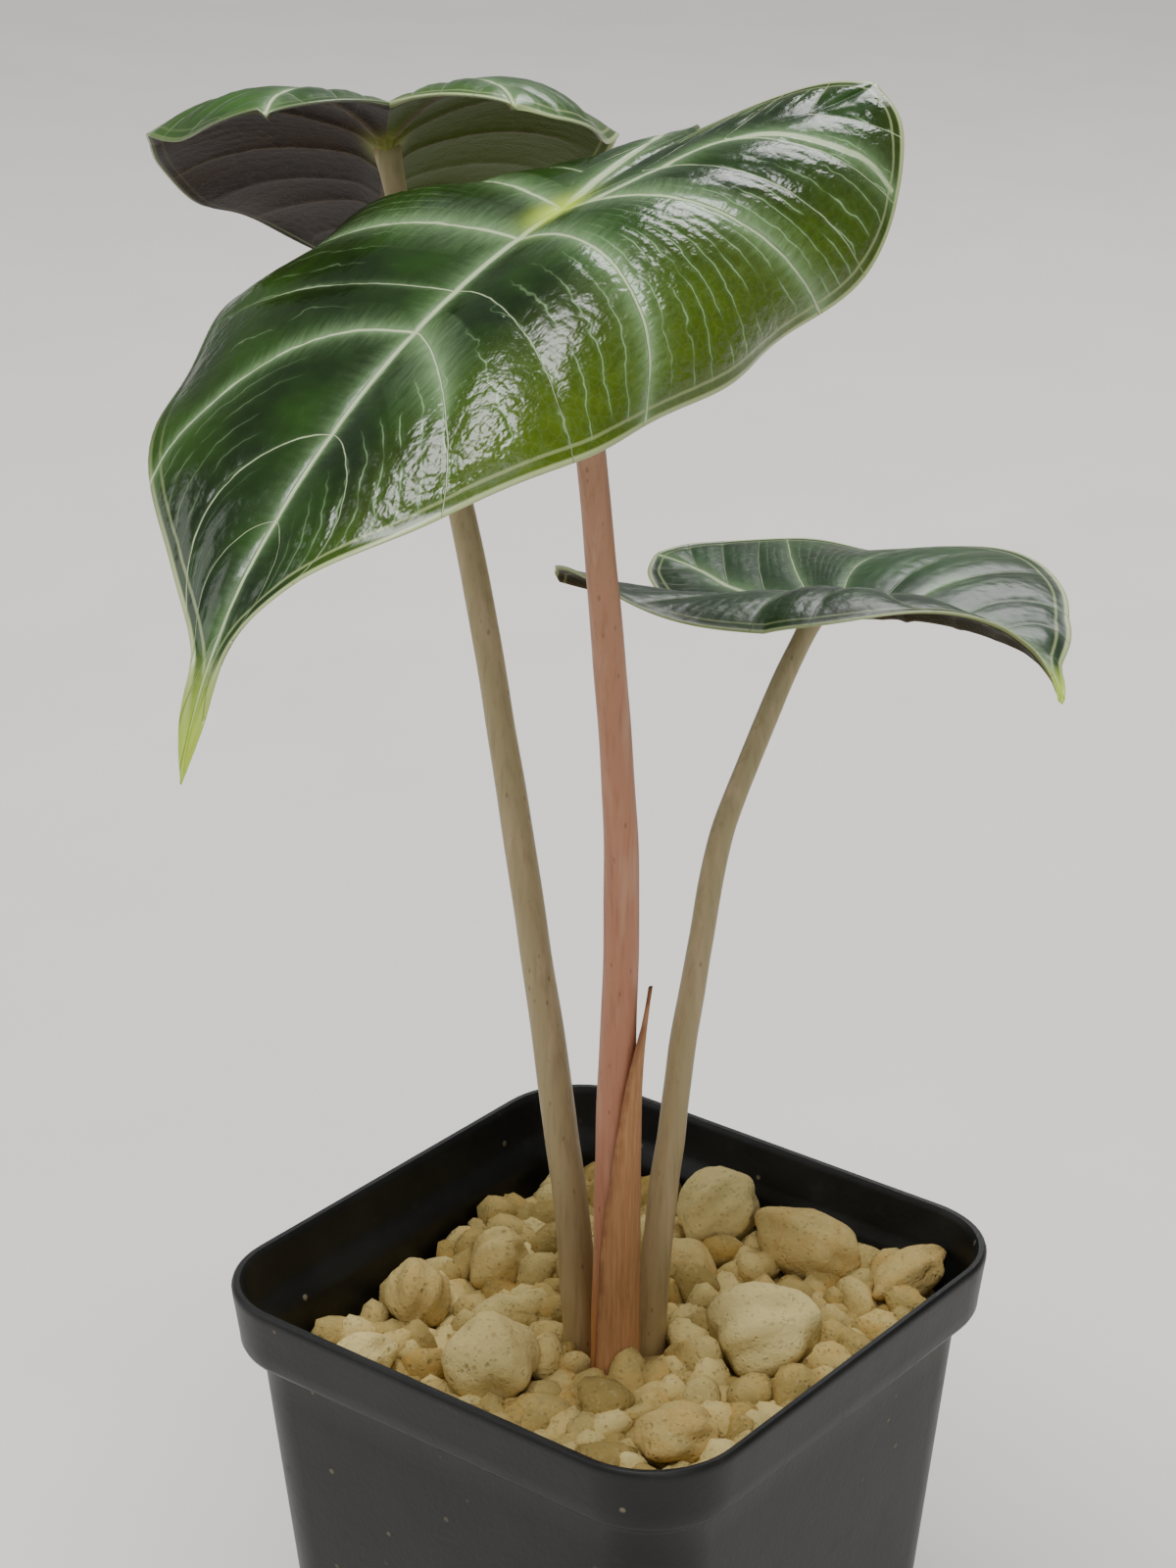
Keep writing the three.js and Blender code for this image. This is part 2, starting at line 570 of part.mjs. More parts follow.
// Two faces and a rim from a plan net. Each point is lifted off its middle surface by half the
// local thickness, more at the ribs.
function twoFaced(leaf, plan, corners) {
  const middle = plan.map(({ side, x, y }) => bladePoint(leaf, side, x, y));
  const normals = middle.map(() => new THREE.Vector3());
  for (const [a, b, c] of corners) {
    const n = middle[b].clone().sub(middle[a]).cross(middle[c].clone().sub(middle[a]));
    for (const k of [a, b, c]) {
      normals[k].add(n);
    }
  }
  normals.forEach((n) => n.normalize());
  const lifted = middle.map((p, i) => {
    const { side, phase, across, y } = plan[i];
    const arch = Math.sin(Math.PI * clamp(across, 0, 1)) ** 0.8;
    const between = Math.abs(Math.sin(Math.PI * phase)) * arch;
    const ripple = leaf.wave * across ** 3 * Math.sin(0.21 * y + 1.7 * side + leaf.seed * 3);
    return p.clone().addScaledVector(normals[i], QUILT * between + ripple);
  });
  const top = [];
  const under = [];
  plan.forEach(({ x, y }, i) => {
    const taper = clamp((leaf.length + leaf.drip - y) / leaf.length, 0, 1);
    const ribbed = Math.exp(-((x / RIB_SPREAD) ** 2)) * taper * (y > -0.05 * leaf.lobe ? 1 : 0.3);
    const thick = lerp(MARGIN_THICK, MIDRIB_THICK, ribbed);
    top.push(lifted[i].clone().addScaledVector(normals[i], MARGIN_THICK / 2));
    under.push(lifted[i].clone().addScaledVector(normals[i], MARGIN_THICK / 2 - thick));
  });
  const positions = [...top, ...under].flatMap((p) => [p.x, p.y, p.z]);
  const n = plan.length;
  const faces = [];
  const edges = new Map();
  for (const [a, b, c] of corners) {
    faces.push(a, b, c, n + a, n + c, n + b);
    for (const [p, q] of [[a, b], [b, c], [c, a]]) {
      edges.set(`${p},${q}`, [p, q]);
    }
  }
  for (const [p, q] of edges.values()) {
    if (!edges.has(`${q},${p}`)) {
      faces.push(p, n + p, n + q, p, n + q, q);
    }
  }
  return indexed(positions, faces);
}

// Sheath: a strip round the side of the front stalk, wide at the foot, with a free pointed tip.
function sheathGeometry() {
  const { points, radius } = STALKS.front;
  const curve = axis(points);
  const steps = 15;
  const arc = 6;
  const frames = curve.computeFrenetFrames(steps, false);
  const radiusAt = stalkRadius(radius);
  const rings = [];
  for (let i = 0; i <= steps; i++) {
    const u = i / steps;
    const t = 0.012 + SHEATH_TOP * u;
    const centre = curve.getPointAt(t);
    const open = Math.max(0, u - 0.72) / 0.28;
    const span = lerp(...SHEATH_SPAN, u ** 2.2);
    const facing = lerp(...SHEATH_FACING, u ** 2);
    const inner = radiusAt(t) / Math.cos(Math.PI / STALK_SIDES) + GAP + SHEATH_OPENS * open ** 1.5;
    const thick = lerp(SHEATH_THICK, 0.6, u);
    const ring = [];
    for (const [r, from, to] of [[inner, span, -span], [inner + thick, -span, span]]) {
      for (let k = 0; k <= arc; k++) {
        const angle = facing + lerp(from, to, k / arc);
        ring.push([centre.x + r * Math.cos(angle), centre.y + r * Math.sin(angle), centre.z]);
      }
    }
    rings.push(ring);
  }
  return loft(rings);
}

// Named mesh with its look.
function piece(name, geometry, [color, roughness]) {
  const mesh = new THREE.Mesh(geometry, new THREE.MeshStandardMaterial({ color, roughness, metalness: 0 }));
  mesh.name = name;
  return mesh;
}

const object = new THREE.Group();
object.add(piece('pot', potGeometry(), BLACK_PLASTIC));

const gravel = piece('gravel', gravelGeometry(), GRAVEL);
gravel.position.z = POT_HEIGHT;
object.add(gravel);

const plant = new THREE.Group();
plant.position.z = POT_HEIGHT;
plant.rotation.z = PLANT_TURN;
object.add(plant);

STONES.forEach((stone, i) => {
  plant.add(piece(stone.name, stoneGeometry(stone, 0, i + 1), stone.look));
});
plant.add(piece('crown', surface(crownSolid(0)), CROWN_BROWN));
for (const [name, leaf] of Object.entries(LEAVES)) {
  const blade = bladeGeometry(leaf);
  plant.add(piece(`blade_${name}`, blade, LEAF_GREEN));
  const look = name === 'front' ? PINK_STALK : TAN_STALK;
  plant.add(piece(`petiole_${name}`, stalkGeometry(STALKS[name], leaf, blade), look));
}
plant.add(piece('sheath', sheathGeometry(), SHEATH_TAN));

export default object;
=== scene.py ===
"""Potted Nairobi Nights alocasia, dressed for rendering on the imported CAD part.

Lengths in the classes are millimetres. The plant has a frame of its own, with its origin at the
middle of the pot's rim, turned about the pot's axis. Every mesh ends in metres in the part's frame,
with its object at the origin.
"""

from __future__ import annotations

import logging
import math
from dataclasses import dataclass, field
from enum import Enum

import bpy
import numpy as np
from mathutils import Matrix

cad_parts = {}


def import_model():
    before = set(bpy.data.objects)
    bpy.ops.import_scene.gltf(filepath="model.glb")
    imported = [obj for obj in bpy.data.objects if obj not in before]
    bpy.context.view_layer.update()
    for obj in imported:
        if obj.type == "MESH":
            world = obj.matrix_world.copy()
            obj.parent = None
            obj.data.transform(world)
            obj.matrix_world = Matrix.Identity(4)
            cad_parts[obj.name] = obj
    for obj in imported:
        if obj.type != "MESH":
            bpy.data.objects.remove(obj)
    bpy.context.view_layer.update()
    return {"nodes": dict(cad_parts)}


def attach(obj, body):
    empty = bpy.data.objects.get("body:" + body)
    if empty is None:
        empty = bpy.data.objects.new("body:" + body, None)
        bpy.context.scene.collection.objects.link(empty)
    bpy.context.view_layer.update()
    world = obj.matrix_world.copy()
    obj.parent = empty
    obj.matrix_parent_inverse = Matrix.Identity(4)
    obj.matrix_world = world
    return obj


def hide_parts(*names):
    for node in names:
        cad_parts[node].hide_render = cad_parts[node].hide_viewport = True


LOG = logging.getLogger("alocasia")
BODY = "root"
RIM_HEIGHT = 100.0
PLANT_TURN = math.radians(38.2)
MM = 0.001

# Share of a blade's margin that lies ahead of its stalk.
FORE = 2 / 3

Rgba = tuple[float, float, float, float]
Point = tuple[float, float, float]
Pair = tuple[float, float]
Line = tuple[Pair, ...]


def shade(code: int) -> Rgba:
    """Linear colour of a hexadecimal screen colour."""
    parts = [(code >> shift & 255) / 255 for shift in (16, 8, 0)]
    return (*(p / 12.92 if p < 0.04045 else ((p + 0.055) / 1.055) ** 2.4 for p in parts), 1.0)


def about_z(angle: float | np.ndarray) -> np.ndarray:
    """Matrices that turn rows about Z: x and y become x cos - y sin and x sin + y cos."""
    c, s, o = np.cos(angle), np.sin(angle), np.zeros_like(angle, float)
    return np.stack([np.stack(row, -1) for row in ((c, s, o), (-s, c, o), (o, o, o + 1))], -2)


def in_part(points: np.ndarray) -> np.ndarray:
    """Plant frame in millimetres to the part's frame in metres: turned about Z, raised to the rim."""
    return (points @ about_z(PLANT_TURN) + [0.0, 0.0, RIM_HEIGHT]) * MM


def unit(vectors: np.ndarray) -> np.ndarray:
    """Vectors scaled to length 1."""
    return vectors / np.maximum(np.linalg.norm(vectors, axis=-1, keepdims=True), 1e-12)


def climb(values: np.ndarray, start: float, span: float) -> np.ndarray:
    """Share of the way from start over a span, kept within 0 and 1."""
    return np.clip((values - start) / span, 0, 1)


def hump(values: np.ndarray, width: float | np.ndarray) -> np.ndarray:
    """Bell curve: e to the power of -(value / width) squared."""
    return np.exp(-(values / width) ** 2)


def smooth_line(points: list[tuple[float, ...]] | np.ndarray, places: np.ndarray) -> np.ndarray:
    """Catmull-Rom curve through points, read at shares of its length.

    Args:
        points: the points that the curve passes.
        places: shares of the length, 0 to 1.

    Returns:
        One point per place.
    """
    p = np.asarray(points, float)
    p = np.vstack([2 * p[0] - p[1], p, 2 * p[-1] - p[-2]])
    t = np.linspace(0, 1, 40, endpoint=False)[None, :, None]
    a, b, c, d = (p[i:len(p) - 3 + i, None] for i in range(4))
    dense = 0.5 * (2 * b + (c - a) * t + (2 * a - 5 * b + 4 * c - d) * t ** 2
                   + (3 * b - a - 3 * c + d) * t ** 3)
    dense = np.vstack([dense.reshape(-1, p.shape[1]), p[-2:-1]])
    run = np.r_[0, np.cumsum(np.linalg.norm(np.diff(dense, axis=0), axis=1))]
    at = np.asarray(places) * run[-1]
    return np.stack([np.interp(at, run, dense[:, k]) for k in range(p.shape[1])], axis=-1)


def distance_to(points: np.ndarray, line: np.ndarray) -> np.ndarray:
    """Distance of each plan point from a line: the least over its straight pieces.

    Args:
        points: plan points.
        line: corners of the line.

    Returns:
        One distance per point.
    """
    a, span = line[:-1], np.diff(line, axis=0)
    best, batch = np.full(len(points), np.inf), 4000
    for start in range(0, len(points), batch):
        away = points[start:start + batch, None] - a
        t = np.clip((away * span).sum(-1) / np.maximum((span ** 2).sum(-1), 1e-9), 0, 1)
        best[start:start + batch] = np.linalg.norm(away - t[..., None] * span, axis=-1).min(1)
    return best


def grid_faces(index: np.ndarray) -> np.ndarray:
    """Quads of a grid of vertex numbers, counter-clockwise where columns run left of rows."""
    a, b, c, d = index[:-1, :-1], index[:-1, 1:], index[1:, 1:], index[1:, :-1]
    return np.stack([a, b, c, d], axis=-1).reshape(-1, 4)


def tube_faces(rows: int, count: int, first: int = 0) -> list[list[int]]:
    """Faces of a closed tube: quads between successive rings, and a cap on each end.

    Args:
        rows: number of rings.
        count: vertices in each ring.
        first: number of the first vertex.

    Returns:
        Vertex numbers of each face.
    """
    index = first + np.arange(rows * count).reshape(rows, count)
    sides = grid_faces(np.hstack([index, index[:, :1]])).tolist()
    return [*sides, index[0, ::-1].tolist(), index[-1].tolist()]


def tidy_faces(faces: np.ndarray) -> list[list[int]]:
    """Drops repeated corners, and faces that have under three left.

    Args:
        faces: quads that may repeat a vertex.

    Returns:
        Quads and triangles.
    """
    whole = np.array([len(set(f)) == faces.shape[1] for f in faces.tolist()])
    rest = [list(dict.fromkeys(f)) for f in faces[~whole].tolist()]
    return faces[whole].tolist() + [f for f in rest if len(f) > 2]


def add_object(name: str, data: bpy.types.ID) -> bpy.types.Object:
    """New object in the scene, at the origin.

    Args:
        name: its name.
        data: its mesh, light or camera.

    Returns:
        The object.
    """
    made = bpy.data.objects.new(name, data)
    bpy.context.scene.collection.objects.link(made)
    return made


@dataclass
class Piece:
    name: str
    slot: str
    node: str
    points: np.ndarray
    faces: list[list[int]]
    materials: list[bpy.types.Material]
    vectors: dict[str, np.ndarray] = field(default_factory=dict)
    plan: np.ndarray | None = None
    face_slots: list[int] | None = None

    def build(self) -> bpy.types.Object:
        """Makes the object at the origin, rides it on the body and reports it.

        Returns:
            The object.
        """
        mesh = bpy.data.meshes.new(self.name)
        mesh.from_pydata(self.points.tolist(), [], self.faces)
        for name, values in self.vectors.items():
            layer = mesh.attributes.new(name, "FLOAT_VECTOR", "POINT")
            layer.data.foreach_set("vector", np.asarray(values, np.float32).ravel())
        if self.plan is not None:
            corners = np.zeros(len(mesh.loops), np.int32)
            mesh.loops.foreach_get("vertex_index", corners)
            layer = mesh.uv_layers.new(name="plan")
            layer.data.foreach_set("uv", self.plan[corners].astype(np.float32).ravel())
        mesh.polygons.foreach_set("use_smooth", np.ones(len(mesh.polygons), bool))
        if self.face_slots is not None:
            mesh.polygons.foreach_set("material_index", np.asarray(self.face_slots, np.int32))
        for material in self.materials:
            mesh.materials.append(material)
        mesh.update()
        piece = add_object(self.name, mesh)
        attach(piece, BODY)
        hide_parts(self.node)
        LOG.info("%s: %d faces", self.name, len(mesh.polygons))
        return piece


class Num:
    """A number in a material. Arithmetic on it adds Math nodes."""

    def __init__(self, graph: Graph, socket: bpy.types.NodeSocket) -> None:
        """Wraps a socket of the graph."""
        self.graph = graph
        self.socket = socket

    def maths(self, operation: str, *others: Num | float) -> Num:
        """Result of a Math node on this number and the others."""
        return self.graph.maths(operation, self, *others)

    def __add__(self, other: Num | float) -> Num:
        """Sum."""
        return self.maths("ADD", other)

    __radd__ = __add__

    def __sub__(self, other: Num | float) -> Num:
        """Difference."""
        return self.maths("SUBTRACT", other)

    def __rsub__(self, other: float) -> Num:
        """Difference from a plain number."""
        return self.graph.maths("SUBTRACT", other, self)

    def __mul__(self, other: Num | float) -> Num:
        """Product."""
        return self.maths("MULTIPLY", other)

    __rmul__ = __mul__

    def __truediv__(self, other: Num | float) -> Num:
        """Quotient."""
        return self.maths("DIVIDE", other)

    def abs(self) -> Num:
        """Absolute value."""
        return self.maths("ABSOLUTE")

    def fall(self) -> Num:
        """e to the power of minus this number."""
        return (self * -1.0).maths("EXPONENT")

    def max(self, other: Num | float) -> Num:
        """Larger of two."""
        return self.maths("MAXIMUM", other)

    def to_whole(self) -> Num:
        """Distance from the nearest whole number."""
        return self.maths("PINGPONG", 0.5)

    def ease(self, start: Num | float, end: Num | float, low: float = 0.0, high: float = 1.0) -> Num:
        """Smooth step from low at start to high at end, level beyond them."""
        inputs = {0: self, 1: start, 2: end, 3: low, 4: high}
        return self.graph.num("ShaderNodeMapRange", {"interpolation_type": "SMOOTHSTEP"}, inputs)

    def fade(self, inside: Num | float, outside: Num | float) -> Num:
        """1 up to inside, 0 from outside on."""
        return self.ease(inside, outside, 1.0, 0.0)


Colour = bpy.types.NodeSocket | Rgba


class Graph:
    """Node tree of one material, with the few calls that the finishes use."""

    def __init__(self, name: str) -> None:
        """Starts an empty material.

        Args:
            name: the material's name.
        """
        self.made = bpy.data.materials.new(name)
        self.made.use_nodes = True
        self.tree = self.made.node_tree
        self.tree.nodes.clear()

    def add(self, kind: str, settings: dict | None = None, inputs: dict | None = None) -> bpy.types.Node:
        """Adds a node.

        Args:
            kind: the node's type.
            settings: properties set first; "stops" are a ramp's (place, colour) pairs.
            inputs: values or links by socket name or number.

        Returns:
            The node.
        """
        node = self.tree.nodes.new(kind)
        for key, value in (settings or {}).items():
            if key != "stops":
                setattr(node, key, value)
                continue
            ramp = node.color_ramp
            for i, (place, colour) in enumerate(value):
                stop = ramp.elements[i] if i < len(ramp.elements) else ramp.elements.new(place)
                stop.position, stop.color = place, colour
        for key, value in (inputs or {}).items():
            socket = value.socket if isinstance(value, Num) else value
            if isinstance(socket, bpy.types.NodeSocket):
                self.tree.links.new(socket, node.inputs[key])
            else:
                node.inputs[key].default_value = socket
        return node

    def num(self, kind: str, settings: dict | None, inputs: dict, out: int | str = 0) -> Num:
        """Adds a node and gives one of its outputs as a number."""
        return Num(self, self.add(kind, settings, inputs).outputs[out])

    def maths(self, operation: str, *values: Num | float) -> Num:
        """Result of one Math node."""
        return self.num("ShaderNodeMath", {"operation": operation}, dict(enumerate(values)))

    def split(self, vector: bpy.types.NodeSocket) -> list[Num]:
        """The three numbers of a vector."""
        return [Num(self, out) for out in self.add("ShaderNodeSeparateXYZ", None, {0: vector}).outputs]

    def attribute(self, name: str) -> list[Num]:
        """The three numbers of the piece's own attribute."""
        return self.split(self.add("ShaderNodeAttribute", {"attribute_name": name}).outputs["Vector"])

    def place(self, scale: Point = (1.0, 1.0, 1.0)) -> bpy.types.NodeSocket:
        """Object coordinates in millimetres, scaled.

        Args:
            scale: factor along each axis.

        Returns:
            The coordinates.
        """
        here = self.add("ShaderNodeTexCoord").outputs["Object"]
        inputs = {"Vector": here, "Scale": [v / MM for v in scale]}
        return self.add("ShaderNodeMapping", None, inputs).outputs[0]

    def plan(self, scale: Point = (1.0, 1.0, 1.0)) -> bpy.types.NodeSocket:
        """The blade's flat coordinates in millimetres, scaled."""
        here = self.add("ShaderNodeUVMap", {"uv_map": "plan"}).outputs[0]
        return self.add("ShaderNodeMapping", None, {"Vector": here, "Scale": scale}).outputs[0]

    def spot(self, x: Num, y: Num) -> bpy.types.NodeSocket:
        """Point of a plane from two numbers."""
        return self.add("ShaderNodeCombineXYZ", None, {0: x, 1: y}).outputs[0]

    def noise(self, where: bpy.types.NodeSocket, size: float, detail: float = 2.0, rough: float = 0.5) -> Num:
        """Noise of about the given feature size, 0 to 1 with its middle at one half."""
        inputs = {"Vector": where, "Scale": 1.0 / size, "Detail": detail, "Roughness": rough}
        return self.num("ShaderNodeTexNoise", None, inputs)

    def cells(self, where: bpy.types.NodeSocket, size: float, feature: str = "F1") -> Num:
        """Distance read from a cell pattern of the given cell size."""
        inputs = {"Vector": where, "Scale": 1.0 / size}
        return self.num("ShaderNodeTexVoronoi", {"feature": feature}, inputs, "Distance")

    def mix(self, share: Num | float, first: Colour, second: Colour, blend: str = "MIX"
            ) -> bpy.types.NodeSocket:
        """Colour between two."""
        settings = {"data_type": "RGBA", "blend_type": blend, "clamp_factor": True}
        return self.add("ShaderNodeMix", settings, {0: share, 6: first, 7: second}).outputs[2]

    def finish(self, colour: Colour, rough: Num | float, relief: Num, specular: float = 0.5
               ) -> bpy.types.Material:
        """Ends the material in one Principled shader.

        Args:
            colour: base colour.
            rough: roughness.
            relief: height of the surface detail in millimetres.
            specular: strength of the reflection.

        Returns:
            The material.
        """
        detail = {"Height": relief, "Distance": MM, "Strength": 1.0}
        bump = self.add("ShaderNodeBump", None, detail).outputs[0]
        inputs = {"Base Color": colour, "Roughness": rough, "Normal": bump, "Specular IOR Level": specular}
        shader = self.add("ShaderNodeBsdfPrincipled", None, inputs)
        self.add("ShaderNodeOutputMaterial", None, {"Surface": shader.outputs[0]})
        return self.made


@dataclass(frozen=True)
class BlackPlastic:
    """Moulded nursery pot plastic: nearly black, half matt, with a little dust and fine grain."""

    black: int = 0x101110
    worn: int = 0x1a1b19
    scuffed: int = 0x2c2c2a
    dust: int = 0x8b8069

    def material(self) -> bpy.types.Material:
        """Plastic with mottled gloss, scuffs that run round the wall and pale specks of grit.

        Returns:
            The material.
        """
        g = Graph("black_plastic")
        here = g.place()
        cloud = g.noise(here, 14.0, 3.0)
        scuff = g.noise(g.place((0.25, 0.25, 2.0)), 3.0, 4.0, 0.65).ease(0.6, 0.78)
        speck = g.cells(here, 5.5).fade(0.05, 0.11) * g.noise(here, 11.0, 1.0).ease(0.52, 0.62)
        film = g.noise(here, 5.0, 4.0, 0.6).ease(0.55, 0.85)
        colour = g.mix(cloud.ease(0.35, 0.7), shade(self.black), shade(self.worn))
        colour = g.mix(scuff * 0.3, colour, shade(self.scuffed))
        colour = g.mix((film * 0.05).max(speck * 0.6), colour, shade(self.dust))
        rough = 0.38 + 0.12 * cloud + 0.12 * film + 0.3 * speck
        relief = 0.035 * g.noise(here, 0.9, 2.0) + 0.05 * g.noise(here, 6.0, 1.0) + 0.1 * speck
        return g.finish(colour, rough, relief, 0.3)


@dataclass(frozen=True)
class Mineral:
    """Pumice and its kin: dry, pitted, mottled by crust and stain. tint is the piece's own shade."""

    name: str
    pale: int
    dark: int
    stain: int
    pit: float
    crust: int = 0xe9dfbf
    # Colour of the painted shade inside pits and pores.
    pit_shade: int = 0x6a5a36

    def material(self) -> bpy.types.Material:
        """Base shade by grain, broken up by crust, stains, and painted shade in the pits and pores.

        Returns:
            The material.
        """
        g = Graph(self.name)
        here = g.place()
        tint, ochre, _ = g.attribute("tint")
        cloud = g.noise(here, 4.2, 4.0, 0.6)
        grit = g.noise(here, 0.7, 3.0, 0.7)
        pores = g.cells(here, 0.8).fade(0.15, 0.4) * g.noise(here, 2.0, 1.0).ease(0.4, 0.6)
        pits = g.cells(here, self.pit).fade(0.12, 0.34) * g.noise(here, 3.1, 1.0).ease(0.42, 0.62)
        base = (tint * 0.7 + cloud * 0.6 - 0.15).ease(0.1, 0.95)
        colour = g.mix(base, shade(self.dark), shade(self.pale))
        colour = g.mix(ochre * cloud.ease(0.3, 0.7), colour, shade(self.stain))
        colour = g.mix(grit.ease(0.55, 0.8) * 0.35, colour, shade(self.crust))
        # Painted shade: pits and pores darkened where shade would fall in them.
        colour = g.mix((pits * 0.3).max(pores * 0.22), colour, shade(self.pit_shade))
        relief = 0.5 * cloud + 0.24 * grit - 0.16 * pits - 0.12 * pores
        return g.finish(colour, 0.86 + 0.1 * grit, relief, 0.25)


@dataclass(frozen=True)
class StalkSkin:
    """Stalk: waxy skin whose colour runs from foot to blade, with fine lengthwise streaks."""

    name: str
    foot: int
    low: int
    middle: int
    top: int
    streaked: int = 0x8c6a52
    bloom: int = 0xd9b79a
    freckle: int = 0x5c3020

    def material(self) -> bpy.types.Material:
        """Colour by the way up the stalk, streaked and freckled, with shallow lengthwise ribs.

        Returns:
            The material.
        """
        g = Graph(self.name)
        along, _, _ = g.attribute("along")
        here = g.place()
        streak = g.noise(g.place((1.0, 1.0, 0.06)), 0.7, 3.0, 0.6)
        broad = g.noise(g.place((1.0, 1.0, 0.12)), 2.4, 2.0)
        drift = along + 0.12 * (g.noise(here, 9.0, 2.0) - 0.5)
        steps = ((0.0, self.foot), (0.16, self.low), (0.5, self.middle), (1.0, self.top))
        stops = [(place, shade(code)) for place, code in steps]
        colour = g.add("ShaderNodeValToRGB", {"stops": stops}, {0: drift}).outputs[0]
        colour = g.mix(streak.ease(0.45, 0.75) * 0.25, colour, shade(self.streaked), "MULTIPLY")
        colour = g.mix(broad.ease(0.5, 0.75) * 0.25, colour, shade(self.bloom))
        fleck = g.cells(g.place((1.0, 1.0, 0.45)), 1.3).fade(0.1, 0.22)
        colour = g.mix(fleck * g.noise(here, 5.0, 1.0).ease(0.5, 0.62) * 0.45, colour, shade(self.freckle))
        relief = 0.07 * streak + 0.06 * g.noise(here, 1.2, 2.0)
        return g.finish(colour, 0.4 + 0.14 * streak, relief, 0.4)


@dataclass(frozen=True)
class DrySheath:
    """Papery sheath: orange tan with fibres that run up it, browner at its edge and tip."""

    body: int = 0xa8784c
    edge: int = 0x7c4a2e
    pale: int = 0xbe8c60

    def material(self) -> bpy.types.Material:
        """Fibres by noise stretched up the sheath, and a brown rim.

        Returns:
            The material.
        """
        g = Graph("dry_sheath")
        along, rim, _ = g.attribute("along")
        fibre = g.noise(g.place((1.0, 1.0, 0.05)), 0.5, 4.0, 0.65)
        cloud = g.noise(g.place(), 4.0, 3.0)
        brown = (rim.fade(0.2, 1.3) * 0.6 + along.ease(0.8, 1.0) * 0.5) * cloud.ease(0.3, 0.6)
        colour = g.mix(fibre.ease(0.35, 0.7), shade(self.body), shade(self.pale))
        relief = 0.16 * fibre + 0.1 * g.noise(g.place(), 1.4, 2.0)
        return g.finish(g.mix(brown, colour, shade(self.edge)), 0.55 + 0.2 * fibre, relief, 0.3)


@dataclass(frozen=True)
class CrownBark:
    """Corm under the gravel: brown, ringed and fibrous."""

    dark: int = 0x5a3a22
    pale: int = 0x94693f
    thread: int = 0x3a2415

    def material(self) -> bpy.types.Material:
        """Rings across the corm under a fibrous noise.

        Returns:
            The material.
        """
        g = Graph("crown_bark")
        rings = g.noise(g.place((0.2, 0.2, 1.6)), 2.0, 3.0)
        fibre = g.noise(g.place((1.0, 1.0, 0.3)), 0.8, 3.0)
        colour = g.mix(rings.ease(0.35, 0.7), shade(self.dark), shade(self.pale))
        colour = g.mix(fibre * 0.4, colour, shade(self.thread))
        return g.finish(colour, 0.8 + 0.15 * fibre, 0.4 * rings + 0.2 * fibre)


class Veins:
    """Line and halo masks of a blade, from the attributes that the blade writes."""

    def __init__(self, g: Graph) -> None:
        """Works out the masks.

        Args:
            g: the material's graph.
        """
        phase, pitch, half = g.attribute("veins")
        fine, fine_pitch, fine_show = g.attribute("fine")
        rib, rib_half, edge = g.attribute("spread")
        # The last two numbers of tone are masks of painted light: a green glow of light shining through the
        # upper face, and through the lower face.
        self.yellow, self.painted_glow, self.out = g.attribute("tone")
        glow, way, rim_show = g.attribute("glow")
        self.flat = g.plan()
        waver = g.noise(self.flat, 5.0, 2.0) - 0.5
        gap = (phase + 0.05 * waver).to_whole() * pitch
        self.core = gap.fade(half * 0.4, half + 0.04).max(rib.fade(rib_half * 0.5, rib_half))
        strokes = g.noise(g.spot(way, gap * 0.22), 0.7, 3.0, 0.65)
        rib_strokes = g.noise(g.spot(g.split(self.flat)[1], rib * 0.2), 0.8, 3.0, 0.65)
        side = (gap / (glow * (0.5 + 2.2 * strokes) + 0.05)).fall() * glow.ease(0.0, 0.7)
        halo = side.max((rib / (rib_half * (0.8 + 2.4 * rib_strokes) + 0.05)).fall())
        self.halo = halo * (0.6 + 0.8 * strokes)
        wander = 0.9 * (g.noise(self.flat, 7.0, 2.0) - 0.5) + 0.3 * (g.noise(self.flat, 2.0, 1.0) - 0.5)
        self.puckered = fine_show
        fine_gap = (fine + wander).to_whole() * fine_pitch
        show = fine_show * g.noise(self.flat, 6.0, 2.0).ease(0.34, 0.55)
        self.fine = fine_gap.fade(0.04, 0.16) * show
        self.fine_soft = fine_gap.fade(0.1, 0.9) * show
        self.net = g.cells(self.flat, 1.5, "DISTANCE_TO_EDGE").fade(0.02, 0.09)
        # rim_show is lower where the pale edge carries painted shade.
        self.rim = edge.fade(0.25, 0.6) * rim_show
        self.collective = ((edge + 0.3 * waver) - 1.6).abs().fade(0.08, 0.3) * rim_show


